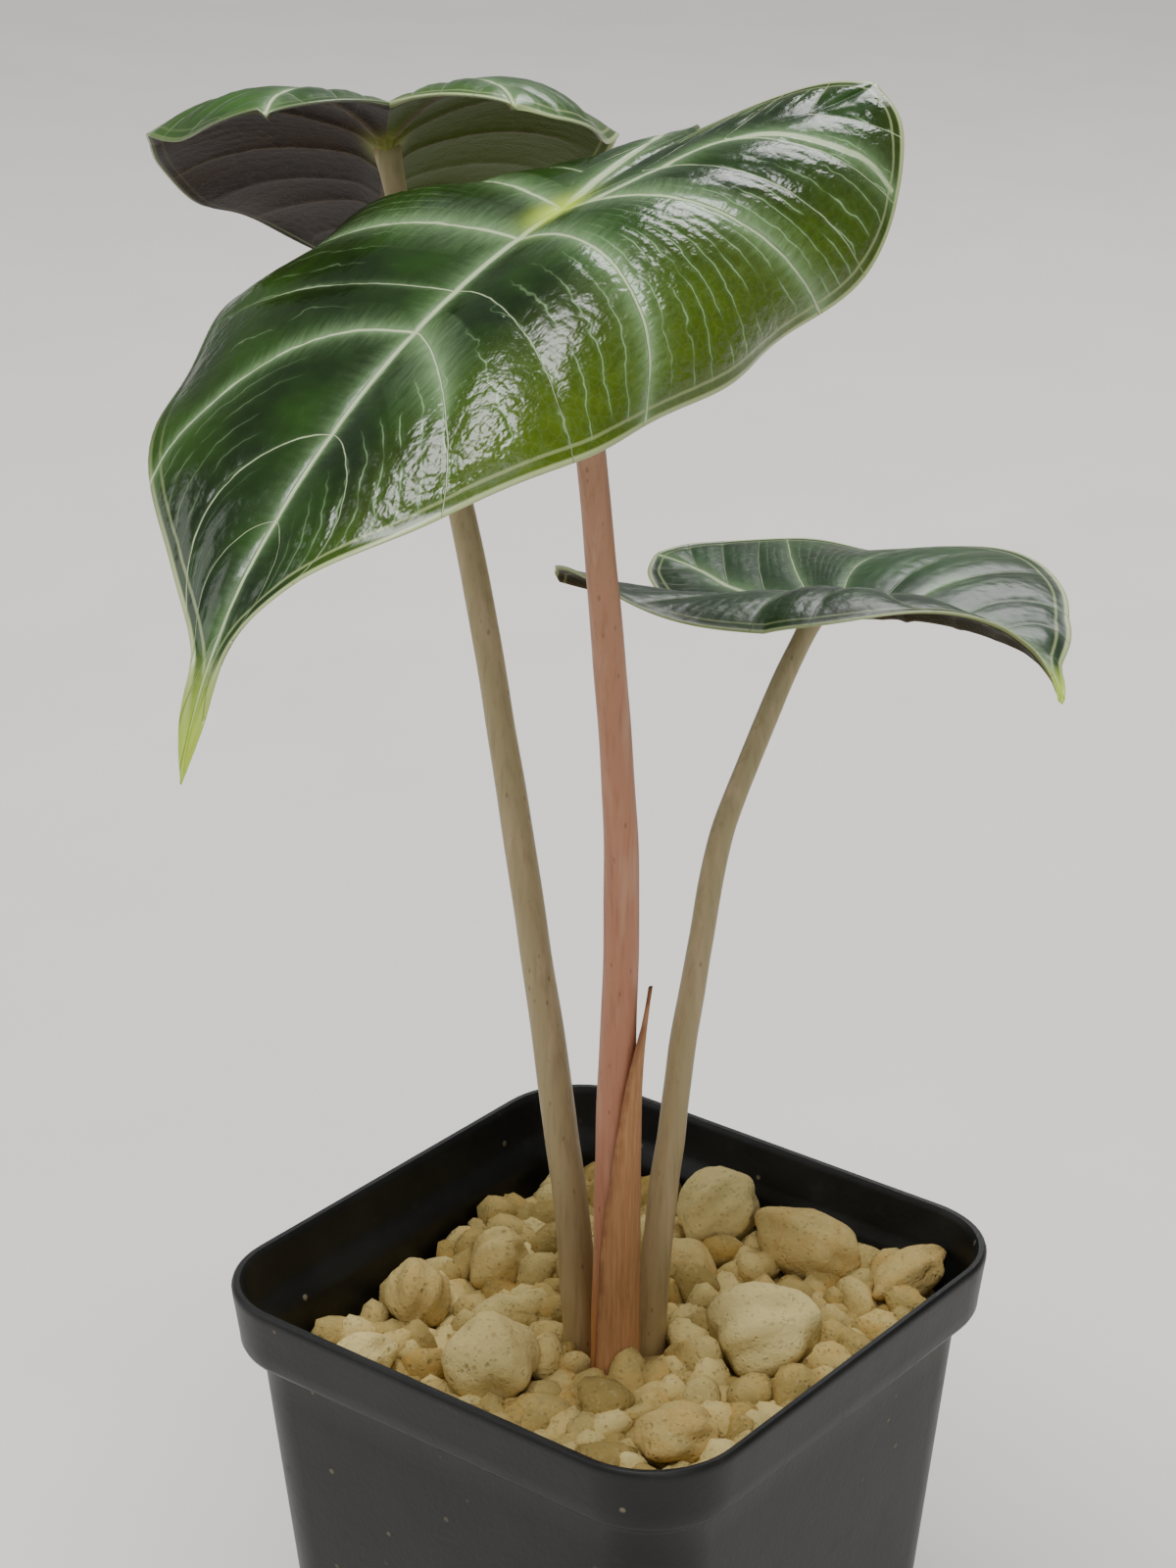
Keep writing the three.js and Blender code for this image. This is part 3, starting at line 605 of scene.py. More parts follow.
@dataclass(frozen=True)
class BladeTop:
    """Upper face of a leaf: very glossy dark green, silvery veins with soft halos, pale double edge, and a
    painted glow of light shining through.
    """

    name: str
    deep: int = 0x11200a
    fresh: int = 0x26470f
    # Colour of the painted glow where light would shine through the blade.
    painted_glow: int = 0x4f6310
    silver: int = 0x7f9d70
    vein: int = 0xb4c298
    margin: int = 0xa8b47e
    yellow: int = 0xa8c030
    matt: float = 0.0

    def material(self) -> bpy.types.Material:
        """Green by broad noise, then a painted glow of light shining through, halos, net, veins and margin,
        over a crinkled relief.

        Returns:
            The material.
        """
        g = Graph(self.name)
        v = Veins(g)
        cloud = g.noise(v.flat, 16.0, 3.0)
        mottle = g.noise(v.flat, 2.2, 3.0, 0.6)
        green = cloud.ease(0.35, 0.7) * 0.7 + mottle * 0.3 - 0.1
        colour = g.mix(green, shade(self.deep), shade(self.fresh))
        # Painted light: a green glow where light would shine through the blade; the net shows only inside it.
        colour = g.mix(v.painted_glow * (0.5 + 0.8 * mottle), colour, shade(self.painted_glow))
        for share in (v.net * v.painted_glow * 0.07, v.halo * 0.8, v.fine * 0.8 + v.fine_soft * 0.08):
            colour = g.mix(share, colour, shade(self.silver))
        colour = g.mix(v.core * 0.8, colour, shade(self.vein))
        colour = g.mix((v.rim * 0.85).max(v.collective * 0.45), colour, shade(self.margin))
        colour = g.mix(v.yellow, colour, shade(self.yellow))
        crinkle = g.noise(g.plan((1.0, 0.6, 1.0)), 1.3, 2.0, 0.6)
        crumpled = 0.2 + 0.8 * v.puckered * cloud.ease(0.35, 0.6, 0.5, 1.0)
        pucker = (0.28 * crinkle - 0.11 * g.cells(v.flat, 1.5)) * crumpled
        relief = (pucker + 0.16 * g.noise(v.flat, 5.0, 1.0)) * (1.0 - 0.75 * v.core)
        relief = relief - 0.05 * v.fine_soft - 0.08 * v.core
        return g.finish(colour, self.matt + 0.17 + 0.08 * mottle + 0.14 * v.core + 0.1 * v.rim, relief)


@dataclass(frozen=True)
class BladeUnder:
    """Lower face of a leaf: dull purple brown with a painted green glow where light passes through, and
    raised paler veins.
    """

    name: str
    dark: int = 0x1b1310
    warm: int = 0x271b14
    # Colour of the painted glow where light would pass through the leaf.
    painted_glow: int = 0x3b4a0e
    vein: int = 0x4a3c28
    margin: int = 0x8f9a66
    yellow: int = 0x8a8f44

    def material(self) -> bpy.types.Material:
        """Purple brown by broad noise, a painted glow of light passing through, veins, net and a pale edge.

        Returns:
            The material.
        """
        g = Graph(self.name)
        v = Veins(g)
        cloud = g.noise(v.flat, 12.0, 3.0)
        colour = g.mix(cloud.ease(0.35, 0.7), shade(self.dark), shade(self.warm))
        # Painted light: a green glow where light would pass through the leaf.
        colour = g.mix(v.out, colour, shade(self.painted_glow))
        colour = g.mix(v.net * 0.15 + v.fine * 0.3, colour, shade(self.vein))
        colour = g.mix(v.core * 0.75 + v.halo * 0.1, colour, shade(self.vein))
        colour = g.mix((v.rim * 0.8).max(v.collective * 0.3), colour, shade(self.margin))
        colour = g.mix(v.yellow * 0.8, colour, shade(self.yellow))
        relief = 0.1 * g.noise(v.flat, 1.5, 2.0) + 0.12 * v.fine_soft + 0.05 * v.net
        return g.finish(colour, 0.55 + 0.1 * cloud, relief, 0.1)


@dataclass(frozen=True)
class PaleFloor:
    """Studio floor: matt, nearly white."""

    pale: int = 0xdad8d3
    shaded: int = 0xd2cfca

    def material(self) -> bpy.types.Material:
        """Warm off-white with a faint cloud.

        Returns:
            The material.
        """
        g = Graph("pale_floor")
        cloud = g.noise(g.place(), 60.0, 3.0)
        colour = g.mix(cloud, shade(self.shaded), shade(self.pale))
        return g.finish(colour, 0.7 + 0.05 * cloud, 0.02 * cloud)


def rounded_square(side: float, corner: float, steps: int, straight: int) -> np.ndarray:
    """Points round a square with round corners, counter-clockwise.

    Args:
        side: width of the square.
        corner: radius of its corners.
        steps: pieces in each corner.
        straight: pieces in each straight side.

    Returns:
        Plan points: corner centre + radius at each angle, then even points to the next corner.
    """
    quarter = np.arange(4)[:, None] * math.pi / 2
    angle = quarter + np.linspace(0, math.pi / 2, steps + 1)[None]
    diagonal = quarter + math.pi / 4
    centre = np.sign(np.stack([np.cos(diagonal), np.sin(diagonal)], -1)) * (side / 2 - corner)
    arcs = centre + corner * np.stack([np.cos(angle), np.sin(angle)], -1)
    share = (np.arange(1, straight) / straight)[None, :, None]
    runs = arcs[:, -1:] * (1 - share) + np.roll(arcs, -1, axis=0)[:, :1] * share
    return np.concatenate([arcs, runs], axis=1).reshape(-1, 2)


@dataclass
class NurseryPot:
    """Square pot: tapered thin walls under an overhanging rim band, with drain holes."""

    height: float = 100.0
    rim_side: float = 90.0
    rim_corner: float = 15.0
    band: float = 10.0
    overhang: float = 4.2
    base_side: float = 69.0
    base_corner: float = 12.0
    wall: float = 1.4
    floor: float = 2.0
    drain_radius: float = 3.8
    drain_ring: float = 22.0
    drains: int = 8
    crease: float = math.radians(34)

    def ring(self, z: float, inset: float = 0.0) -> Point:
        """Rounded square of the tapered wall at one height.

        Args:
            z: height above the pot's underside.
            inset: how far it moves in on each side.

        Returns:
            Side, corner radius and height.
        """
        share = z / (self.height - self.band)
        side = self.base_side + (self.rim_side - 2 * self.overhang - self.base_side) * share
        corner = self.base_corner + (self.rim_corner - self.overhang - self.base_corner) * share
        return side - 2 * inset, corner - inset, z

    def rows(self) -> list[Point]:
        """Profile as (side, corner, height): underside, wall, band, lip, mouth, shelf, wall, floor.

        Returns:
            Rounded squares in order.
        """
        foot, top = self.height - self.band, self.height
        under = foot - 2.2
        mouth = self.ring(foot, self.wall)
        return [
            (0.5, 0.2, 0), (24, 7, 0), (48, 9, 0), (66, 10.5, 0), (67.2, 11.1, 0.12), (68.2, 11.6, 0.6),
            *(self.ring(z) for z in (1.6, 3, 12, 30, 50, 70, 82, under - 0.8)), self.ring(under, -0.2),
            (85.0, 12.5, foot - 0.9), (87.0, 13.5, foot - 0.3), (87.8, 13.9, foot + 0.5),
            (88.2, 14.1, foot + 2.5), (89.2, 14.6, foot + 6.5), (89.8, 14.9, top - 1.4),
            (89.9, 14.95, top - 0.8), (89.6, 14.8, top - 0.3), (88.9, 14.45, top),
            (87.4, 13.7, top - 0.05), (86.6, 13.3, top - 0.5), (86.2, 13.1, top - 1.2),
            (85.0, 12.5, foot + 6), (83.9, 12.0, foot + 3.9), (83.4, 11.7, foot + 3.2),
            (82.0, 11.0, foot + 2.2), (79.6, 9.9, foot + 0.6), (mouth[0], mouth[1], foot - 0.4),
            *(self.ring(z, self.wall) for z in (foot - 1.2, 80, 60, 40, 20, 4.5, self.floor + 0.7)),
            (self.ring(self.floor, self.wall)[0] - 1.2, self.ring(0, self.wall)[1] - 0.5, self.floor),
            (44, 8, self.floor), (22, 6, self.floor), (0.5, 0.2, self.floor),
        ]

    def drill(self, shell: bpy.types.Object) -> None:
        """Cuts the drain holes with one cutter of upright cylinders, alternately a little in and out.

        Args:
            shell: the pot's object.
        """
        sides, reach_out, over = 32, 0.06, 3.0
        turn = np.linspace(0, 2 * math.pi, sides, endpoint=False)
        rings, faces = [], []
        for i in range(self.drains):
            angle = (i + 0.5) / self.drains * 2 * math.pi
            reach = self.drain_ring * (1 + reach_out * (-1) ** i)
            middle = [reach * math.cos(angle), reach * math.sin(angle)]
            circle = middle + self.drain_radius * np.c_[np.cos(turn), np.sin(turn)]
            rings += [np.c_[circle, np.full(sides, z)] for z in (-over, self.floor + over)]
            faces += tube_faces(2, sides, 2 * sides * i)
        mesh = bpy.data.meshes.new("drill")
        mesh.from_pydata((np.vstack(rings) * MM).tolist(), [], faces)
        drill = add_object("drill", mesh)
        cut = shell.modifiers.new("drains", "BOOLEAN")
        cut.operation, cut.solver, cut.object = "DIFFERENCE", "EXACT", drill
        bpy.context.view_layer.update()
        done = bpy.data.meshes.new_from_object(shell.evaluated_get(bpy.context.evaluated_depsgraph_get()))
        shell.modifiers.clear()
        shell.data = done
        bpy.data.objects.remove(drill)
        done.set_sharp_from_angle(angle=self.crease)

    def build(self, plastic: bpy.types.Material) -> None:
        """Lofts the shell through its rows, closes both ends and drills it.

        Args:
            plastic: the pot's material.
        """
        flats = [(rounded_square(side, corner, 14, 8), z) for side, corner, z in self.rows()]
        rings = [np.c_[flat, np.full(len(flat), z)] for flat, z in flats]
        points, faces = np.vstack(rings) * MM, tube_faces(len(rings), len(rings[0]))
        shell = Piece("pot_shell", "pot_plastic", "pot", points, faces, [plastic]).build()
        shell.data.set_sharp_from_angle(angle=self.crease)
        self.drill(shell)


def ball(count: int) -> tuple[np.ndarray, np.ndarray]:
    """Unit ball as a cube's six sides blown round, its seams merged.

    Args:
        count: squares along each edge of the cube.

    Returns:
        Points, each side's tan-spaced grid scaled to length 1, and quads that face outwards.
    """
    ticks = np.tan(np.linspace(-1, 1, count + 1) * math.pi / 4)
    u, v = np.meshgrid(ticks, ticks, indexing="ij")
    sides, index = [], np.arange((count + 1) ** 2).reshape(count + 1, -1)
    faces = []
    for axis in range(3):
        for sign in (1.0, -1.0):
            side = np.zeros((*u.shape, 3))
            side[..., axis], side[..., (axis + 1) % 3], side[..., (axis + 2) % 3] = sign, u * sign, v
            faces.append(grid_faces(index + len(sides) * index.size)[:, ::-1])
            sides.append(side.reshape(-1, 3))
    points = unit(np.vstack(sides))
    _, first, back = np.unique(np.round(points, 5), axis=0, return_index=True, return_inverse=True)
    return points[first], back.reshape(-1)[np.vstack(faces)][:, ::-1]


@dataclass
class Stone:
    """One large stone of the bed, in the plant's frame."""

    name: str
    at: Point
    half: Point
    turn: float
    seed: int
    pale: bool

    def build(self, minerals: dict[bool, bpy.types.Material]) -> None:
        """Ball pushed by three broad waves as in the CAD, then by finer ones, stretched and turned.

        Args:
            minerals: the materials of the tan and the pale stones.
        """
        p, faces = ball(22)
        x, y, z = p.T
        s = self.seed
        rough = (1 + 0.07 * np.sin(3.1 * x + 5.3 * y + s) + 0.05 * np.sin(4.7 * z - 3.9 * x + 2 * s)
                 + 0.025 * np.sin(7.3 * y + 6.1 * z + 3 * s))
        finer = (0.009 * np.sin(13 * x + 7 * z + 5 * s) * np.sin(11 * y - 5 * x + s)
                 + 0.008 * np.sin(23 * y + 9 * x + 2 * s) * np.sin(19 * z + 8 * y))
        flats = 0.02 * np.round(4 * np.sin(2.3 * x + 1.7 * y + 2.1 * z + s)) / 4
        shape = (p * (rough + finer + flats)[:, None] * self.half) @ about_z(self.turn) + self.at
        draw = np.random.default_rng(100 + s)
        shade_of = draw.uniform(0.5, 0.9)
        ochre = draw.uniform(0.05, 0.35) if self.pale else draw.uniform(0.3, 0.7)
        Piece(f"{self.name}_rough", "pale_pumice" if self.pale else "tan_stone", self.name, in_part(shape),
              faces.tolist(), [minerals[self.pale]], {"tint": np.tile([shade_of, ochre, 0], (len(shape), 1))}
              ).build()


STONES = [
    Stone("stone_big_right", (22.6, -9.0, -6.9), (8.3, 7.8, 7.0), 0.4, 1, True),
    Stone("stone_big_left", (-18.1, -12.6, -9.9), (7.0, 6.8, 6.5), 2.7, 2, True),
    Stone("stone_back_round", (17.1, 27.4, -6.9), (7.1, 6.1, 6.2), 1.1, 3, True),
    Stone("stone_back_wide", (30.4, 16.4, -7.4), (9.4, 5.4, 5.6), -0.7, 4, False),
    Stone("stone_long", (45.6, 6.4, -6.6), (7.6, 3.6, 3.6), 0.8, 5, False),
    Stone("stone_left_far", (-17.8, 18.8, -12.0), (4.6, 4.4, 5.6), 0.3, 6, False),
    Stone("stone_left_mid", (-30.3, 9.0, -11.8), (5.6, 4.8, 5.4), 1.9, 7, False),
    Stone("stone_left_corner", (-37.6, -9.0, -12.2), (5.6, 4.4, 4.2), 0.9, 8, True),
    Stone("stone_front", (9.0, -33.2, -9.6), (6.2, 5.2, 4.6), 0.2, 9, False),
    Stone("stone_middle", (11.6, 14.0, -10.4), (5.8, 4.8, 4.8), 2.0, 10, False),
]


@dataclass
class GravelBed:
    """Pumice grit that fills the pot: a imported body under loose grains, in the pot's own axes."""

    pot: NurseryPot
    depth: float = 12.2
    slope: float = 0.08
    gap: float = 0.35
    grains: int = 400
    radius: Pair = (2.4, 4.3)
    corner: float = 9.5
    seed: int = 41

    def top(self, x: np.ndarray, y: np.ndarray) -> np.ndarray:
        """Bed's top above the pot's underside: rises along the plant's X."""
        rise = self.slope * (x * math.cos(PLANT_TURN) + y * math.sin(PLANT_TURN))
        return self.pot.height + rise - self.depth

    def body(self) -> tuple[np.ndarray, list[list[int]]]:
        """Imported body: rounded squares up the wall, then in over a bumpy top that ends in a point.

        Returns:
            Points and faces.
        """
        low = self.pot.height - self.depth - self.slope * 1.2 * self.pot.rim_side / 2
        rings = []
        for share in (0.02, 0.35, 0.7, 1.0):
            z = self.pot.floor + self.gap + share * (low - 3 - self.pot.floor)
            flat = rounded_square(*self.pot.ring(z, self.pot.wall + self.gap)[:2], 10, 12)
            rings.append(np.c_[flat, np.full(len(flat), z)])
        brim = rings[-1][:, :2]
        for share in np.linspace(1.0, 0.02, 44):
            flat = brim * share
            x, y = flat.T
            bumps = 0.9 * np.sin(1.1 * x + 0.7 * np.sin(0.6 * y)) * np.sin(1.2 * y + 0.9 * np.sin(0.5 * x))
            rings.append(np.c_[flat, self.top(x, y) - 2.2 + bumps * min(1.0, 8 * (1 - share))])
        return np.vstack(rings), tube_faces(len(rings), len(brim))

    def spots(self, draw: np.random.Generator, radius: np.ndarray) -> np.ndarray:
        """Plan places of the grains: random, then pushed apart and kept inside the wall, 60 times.

        Args:
            draw: source of the random places.
            radius: the grains' radii.

        Returns:
            One place per grain.
        """
        reach = (self.pot.ring(84, self.pot.wall + self.gap)[0] / 2 - radius * 0.9)[:, None]
        spot = draw.uniform(-1, 1, (self.grains, 2)) * reach
        for _ in range(60):
            away = spot[:, None] - spot[None]
            gap = np.linalg.norm(away, axis=-1) + 1e-6
            push = np.clip((radius[:, None] + radius[None]) * 0.62 - gap, 0, None) / gap
            np.fill_diagonal(push, 0)
            spot = np.clip(spot + 0.35 * (away * push[..., None]).sum(1), -reach, reach)
            past = np.clip(np.abs(spot) - (reach - self.corner), 0, None)
            over = np.linalg.norm(past, axis=1, keepdims=True)
            held = reach - self.corner + past * self.corner / np.maximum(over, 1e-6)
            spot = np.where(over > self.corner, np.sign(spot) * held, spot)
        return spot

    def build(self, grit: bpy.types.Material, blocks: list[Point]) -> None:
        """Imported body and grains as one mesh: each grain a ball pushed by waves, stretched and spun.

        Args:
            grit: the grains' material.
            blocks: plant frame circles (x, y, radius) that grains stay out of.
        """
        draw = np.random.default_rng(self.seed)
        radius = draw.uniform(*self.radius, self.grains)
        spot = self.spots(draw, radius)
        clear = np.ones(self.grains, bool)
        for x, y, keep in blocks:
            here = (np.array([x, y, 0.0]) @ about_z(PLANT_TURN))[:2]
            clear &= np.linalg.norm(spot - here, axis=1) > keep + radius * 0.55
        p, faces = ball(3)
        wave = draw.uniform(0, 2 * math.pi, (self.grains, 6))
        first, second, third = (wave[:, k:k + 1] for k in range(3))
        x, y, z = (v[None] for v in p.T)
        rough = (1 + 0.12 * np.sin(3 * x + 2 * y + first) + 0.1 * np.sin(3 * y - 2 * z + second)
                 + 0.08 * np.sin(5 * z + 2 * x + third))
        stretch = radius[:, None] * draw.uniform([0.9, 0.75, 0.62], [1.25, 1.0, 0.9], (self.grains, 3))
        a, b, e = wave[:, 3:6].T
        spin = about_z(e) @ np.roll(about_z(b), 1, axis=(1, 2)) @ about_z(a)
        shape = (p[None] * rough[..., None] * stretch[:, None]) @ spin
        height = self.top(*spot.T) + radius * draw.uniform(-0.75, 0.3, self.grains)
        shape = (shape + np.c_[spot, height][:, None])[clear]
        many, (body, body_faces) = len(shape), self.body()
        numbers = (faces[None] + len(body) + np.arange(many)[:, None, None] * len(p)).reshape(-1, 4)
        own = np.c_[draw.uniform(0.1, 1, many), draw.beta(1.2, 1.6, many), np.zeros(many)]
        tint = np.vstack([np.tile([0.2, 0.4, 0], (len(body), 1)), np.repeat(own, len(p), axis=0)])
        points = np.vstack([body, shape.reshape(-1, 3)]) * MM
        Piece("gravel_grit", "gravel_grit", "gravel", points, body_faces + numbers.tolist(), [grit],
              {"tint": tint}).build()


@dataclass
class Stalk:
    """Round leaf stalk along points in the plant's frame."""

    name: str
    slot: str
    points: list[Point]
    foot: float
    tip: float
    sides: int = 28
    steps: int = 150

    def radius(self, t: np.ndarray) -> np.ndarray:
        """Radius by the way up: foot to tip along 0.25 root t + 0.75 t."""
        return self.foot + (self.tip - self.foot) * np.minimum(1, 0.25 * np.sqrt(t) + 0.75 * t)

    def build(self, skin: bpy.types.Material) -> None:
        """Tube: centre + radius round the way up, eased by slow waves and flared under the blade.

        Args:
            skin: the stalk's material.
        """
        t = np.linspace(0, 1, self.steps)
        centre = smooth_line(self.points, t)
        along = unit(np.gradient(centre, axis=0))
        across = unit(np.cross([0.0, 1.0, 0.0], along))
        off = np.cross(along, across)
        turn = np.linspace(0, 2 * math.pi, self.sides, endpoint=False)
        slow = 1 + 0.018 * np.sin(31 * t + turn[:, None] * 2).T + 0.012 * np.sin(67 * t + turn[:, None] * 3).T
        reach = (self.radius(t) * (1 + 0.28 * hump(1 - t, 0.022)))[:, None] * slow
        c, s = np.cos(turn)[None, :, None], np.sin(turn)[None, :, None]
        rings = centre[:, None] + reach[..., None] * (c * across[:, None] + s * off[:, None])
        for end, share in ((0, 0.75), (-1, 0.6)):
            rings[end] = centre[end] + (rings[end] - centre[end]) * share
        share = np.repeat(np.c_[t, 0 * t, 0 * t], self.sides, axis=0)
        Piece(f"stalk_{self.name}", self.slot, f"petiole_{self.name}", in_part(rings.reshape(-1, 3)),
              tube_faces(self.steps, self.sides), [skin], {"along": share}).build()


STALKS = {
    "front": Stalk("front", "pink_stalk", [
        (-0.2, -10.0, -14.8), (-0.1, -10.2, -1.7), (0.0, -10.7, 13.4), (0.2, -11.6, 27.4),
        (0.5, -12.5, 41.4), (0.9, -13.7, 54.9), (0.9, -15.3, 73.5), (0.0, -17.2, 91.3),
        (-1.3, -19.3, 108.6), (-3.0, -22.6, 129.6), (-4.7, -25.6, 148.6), (-6.7, -29.0, 166.2)], 3.2, 1.75),
    "left": Stalk("left", "tan_stalk", [
        (-4.4, -3.0, -14.8), (-5.3, -2.6, -1.1), (-6.5, -1.8, 13.0), (-7.7, -1.0, 21.8), (-9.2, 0.3, 34.7),
        (-11.0, 2.0, 47.5), (-13.4, 4.7, 64.6), (-16.0, 7.9, 81.4), (-18.6, 11.4, 97.6),
        (-21.4, 15.0, 111.7), (-26.6, 21.5, 136.1), (-32.2, 30.0, 163.1)], 2.9, 1.6),
    "right": Stalk("right", "tan_stalk", [
        (5.3, -4.9, -14.8), (6.3, -4.6, 0.1), (7.5, -4.1, 14.3), (8.6, -3.6, 23.2), (10.0, -2.6, 36.4),
        (12.0, -0.9, 49.0), (14.8, 2.0, 65.7), (17.5, 4.4, 73.9), (20.8, 7.2, 81.6), (24.2, 10.3, 89.2),
        (29.2, 14.0, 98.9)], 2.5, 1.45),
}


@dataclass
class Sheath:
    """Dry sheath that clasps the front stalk's foot and ends in a free tip."""

    stalk: Stalk
    top: float = 0.355
    thick: float = 0.75
    tip_thick: float = 0.45
    span: Pair = (1.45, 0.3)
    facing: Pair = (-0.8, -0.1)
    opens: float = 1.0
    clear: float = 0.35
    steps: int = 70
    arc: int = 26

    def build(self, paper: bpy.types.Material) -> None:
        """Strip round the stalk's side, its ring an inner and an outer arc that meet in thin edges.

        Args:
            paper: the sheath's material.
        """
        u = np.linspace(0, 1, self.steps)
        t = 0.012 + self.top * u
        centre = smooth_line(self.stalk.points, t)[:, None]
        opened = np.clip(u - 0.72, 0, None) / 0.28
        ragged = 0.05 * np.sin(19 * u) + 0.03 * np.sin(43 * u + 1)
        span = (self.span[0] + (self.span[1] - self.span[0]) * u ** 2.2) * (1 - 0.5 * opened ** 3)
        span = span + ragged * (1 - u)
        facing = self.facing[0] + (self.facing[1] - self.facing[0]) * u ** 2
        inner = self.stalk.radius(t) * 1.04 + self.clear + self.opens * opened ** 1.5
        thick = self.thick + (self.tip_thick - self.thick) * u
        k = np.linspace(-1, 1, self.arc)
        arcs = []
        for share, outer in ((k, 0.0), (k[::-1], 1.0)):
            angle = facing[:, None] - share[None] * span[:, None]
            lifted = 0.5 * np.abs(share[None]) ** 6 * (0.4 + 0.6 * np.sin(9 * u + 2)[:, None] ** 2)
            wall = thick[:, None] * np.sqrt(np.clip(1 - share ** 4, 0, 1))[None] * outer
            reach = inner[:, None] + wall + lifted + 0.05 * np.sin(26 * share)[None]
            z = np.broadcast_to(centre[..., 2], reach.shape)
            flat = (centre[..., 0] + reach * np.cos(angle), centre[..., 1] + reach * np.sin(angle))
            arcs.append(np.stack([*flat, z], -1))
        ring = np.concatenate([arcs[0], arcs[1][:, 1:-1]], axis=1)
        around = np.r_[k, k[::-1][1:-1]]
        rim = (1 - np.abs(around))[None] * span[:, None] * inner[:, None]
        along = np.stack([np.broadcast_to(u[:, None], rim.shape), rim, 0 * rim], -1).reshape(-1, 3)
        Piece("sheath_paper", "dry_sheath", "sheath", in_part(ring.reshape(-1, 3)),
              tube_faces(self.steps, ring.shape[1]), [paper], {"along": along}).build()


class Half(Enum):
    """Half of a blade, seen from above with its tip ahead. Pairs of values name the right half first."""

    RIGHT = 1
    LEFT = -1

    def of(self, pair: tuple) -> float | tuple | None:
        """This half's value in a pair."""
        return pair[0 if self is Half.RIGHT else 1]


@dataclass(frozen=True)
class Vein:
    """One side vein, from the rib to the margin.

    drift is how far it has moved along the margin there and bow the power of that drift. core is the
    half width of its line at the rib and halo the reach of its glow, in millimetres. The line dies
    out at way_out and the glow at glow_out, as shares of the way across.
    """

    drift: float = 0.0
    bow: float = 1.0
    core: float = 0.12
    halo: float = 0.1
    way_out: float = 1.0
    glow_out: float = 1.0


@dataclass
class VeinPlan:
    """Side veins of a blade, from the drip tip to the lobe's end.

    starts are where they leave the rib as shares of the margin, between the fine veins up to the
    next one, and rows the rows of mesh there. The stalk stands at vein number stalk.
    """

    starts: tuple[float, ...] = (0, 0.1, 0.2, 0.295, 0.43, 0.495, 0.597, 0.6667, 0.75, 0.8333, 0.9167, 1)
    lines: tuple[tuple[Vein, ...], tuple[Vein, ...]] = (
        (Vein(), Vein(-0.06, 1.7, 0.03), Vein(-0.115, 1.8, 0.06), Vein(-0.175, 1.9, 0.15, 0.2),
         Vein(-0.165, 2.2, 0.34, 0.75), Vein(-0.015, 1.0, 0.13, 0.3, 0.8),
         Vein(-0.005, 1.0, 0.38, 1.5, 0.85, 0.9), Vein(0.085, 1.0, 0.4, 1.3), Vein(0.055, 1.2, 0.15, 0.3),
         Vein(0.04, 1.2), Vein(0.02, 1.2), Vein()),
        (Vein(), Vein(-0.05, 1.6, 0.03), Vein(-0.085, 1.7, 0.05), Vein(-0.115, 1.7, 0.1, 0.12),
         Vein(-0.13, 1.15, 0.16, 1.6, 1.0, 0.6), Vein(-0.08, 1.3, 0.1, 0.08), Vein(-0.09, 1.9, 0.38, 1.25),
         Vein(0.087, 1.3, 0.48, 1.6), Vein(0.055, 1.2, 0.15, 0.15), Vein(0.04, 1.2, 0.15),
         Vein(0.02, 1.2), Vein()))
    between: tuple[int, ...] = (2, 3, 4, 5, 2, 4, 9, 4, 3, 3, 2)
    rows: tuple[int, ...] = (10, 14, 16, 20, 14, 18, 46, 16, 14, 12, 10)
    stalk: int = 7

    def phases(self) -> np.ndarray:
        """Row places as vein numbers, 0 at the tip, with a row exactly on each vein."""
        parts = [k + np.arange(n) / n for k, n in enumerate(self.rows)]
        return np.r_[np.concatenate(parts), len(self.rows)]

    def margin_share(self, half: Half, phase: np.ndarray, w: np.ndarray) -> np.ndarray:
        """Rung of a place: each vein is start + drift w^bow, and rows between two are spaced evenly.

        Args:
            half: the blade's half.
            phase: vein numbers of the rows.
            w: shares of the way across.

        Returns:
            Shares of the margin, by row and column.
        """
        veins = half.of(self.lines)
        drift, bow = (np.array([getattr(vein, key) for vein in veins])[None] for key in ("drift", "bow"))
        lines = np.array(self.starts)[None] + drift * w[:, None] ** bow
        k = np.minimum(phase.astype(int), len(self.rows) - 1)
        share = (phase - k)[:, None]
        return lines.T[k] * (1 - share) + lines.T[k + 1] * share

    def strengths(self, half: Half, phase: np.ndarray, w: np.ndarray) -> list[np.ndarray]:
        """Half width of the line and reach of the glow, each fading to its own end.

        Args:
            half: the blade's half.
            phase: vein number at each place.
            w: share of the way across there.

        Returns:
            Half widths and reaches.
        """
        out, nearest = [], np.round(phase).astype(int)
        for size, end, slim in (("core", "way_out", 0.55), ("halo", "glow_out", 0.5)):
            sizes, ends = (np.array([getattr(vein, key) for vein in half.of(self.lines)])[nearest]
                           for key in (size, end))
            fade = np.clip((ends - w) / 0.3 + 0.35, 0, 1)
            out.append(sizes * (1 - slim * w) * np.where(ends < 1, fade, 1.0))
        return out

    def fine(self, phase: np.ndarray) -> tuple[np.ndarray, np.ndarray]:
        """Running number of the fine veins, and how many lie between two side veins there.

        Args:
            phase: vein number at each place.

        Returns:
            Numbers and counts.
        """
        k = np.minimum(phase.astype(int), len(self.rows) - 1)
        counts = np.array(self.between)
        return np.r_[0, np.cumsum(counts)][k] + (phase - k) * counts[k], counts[k]


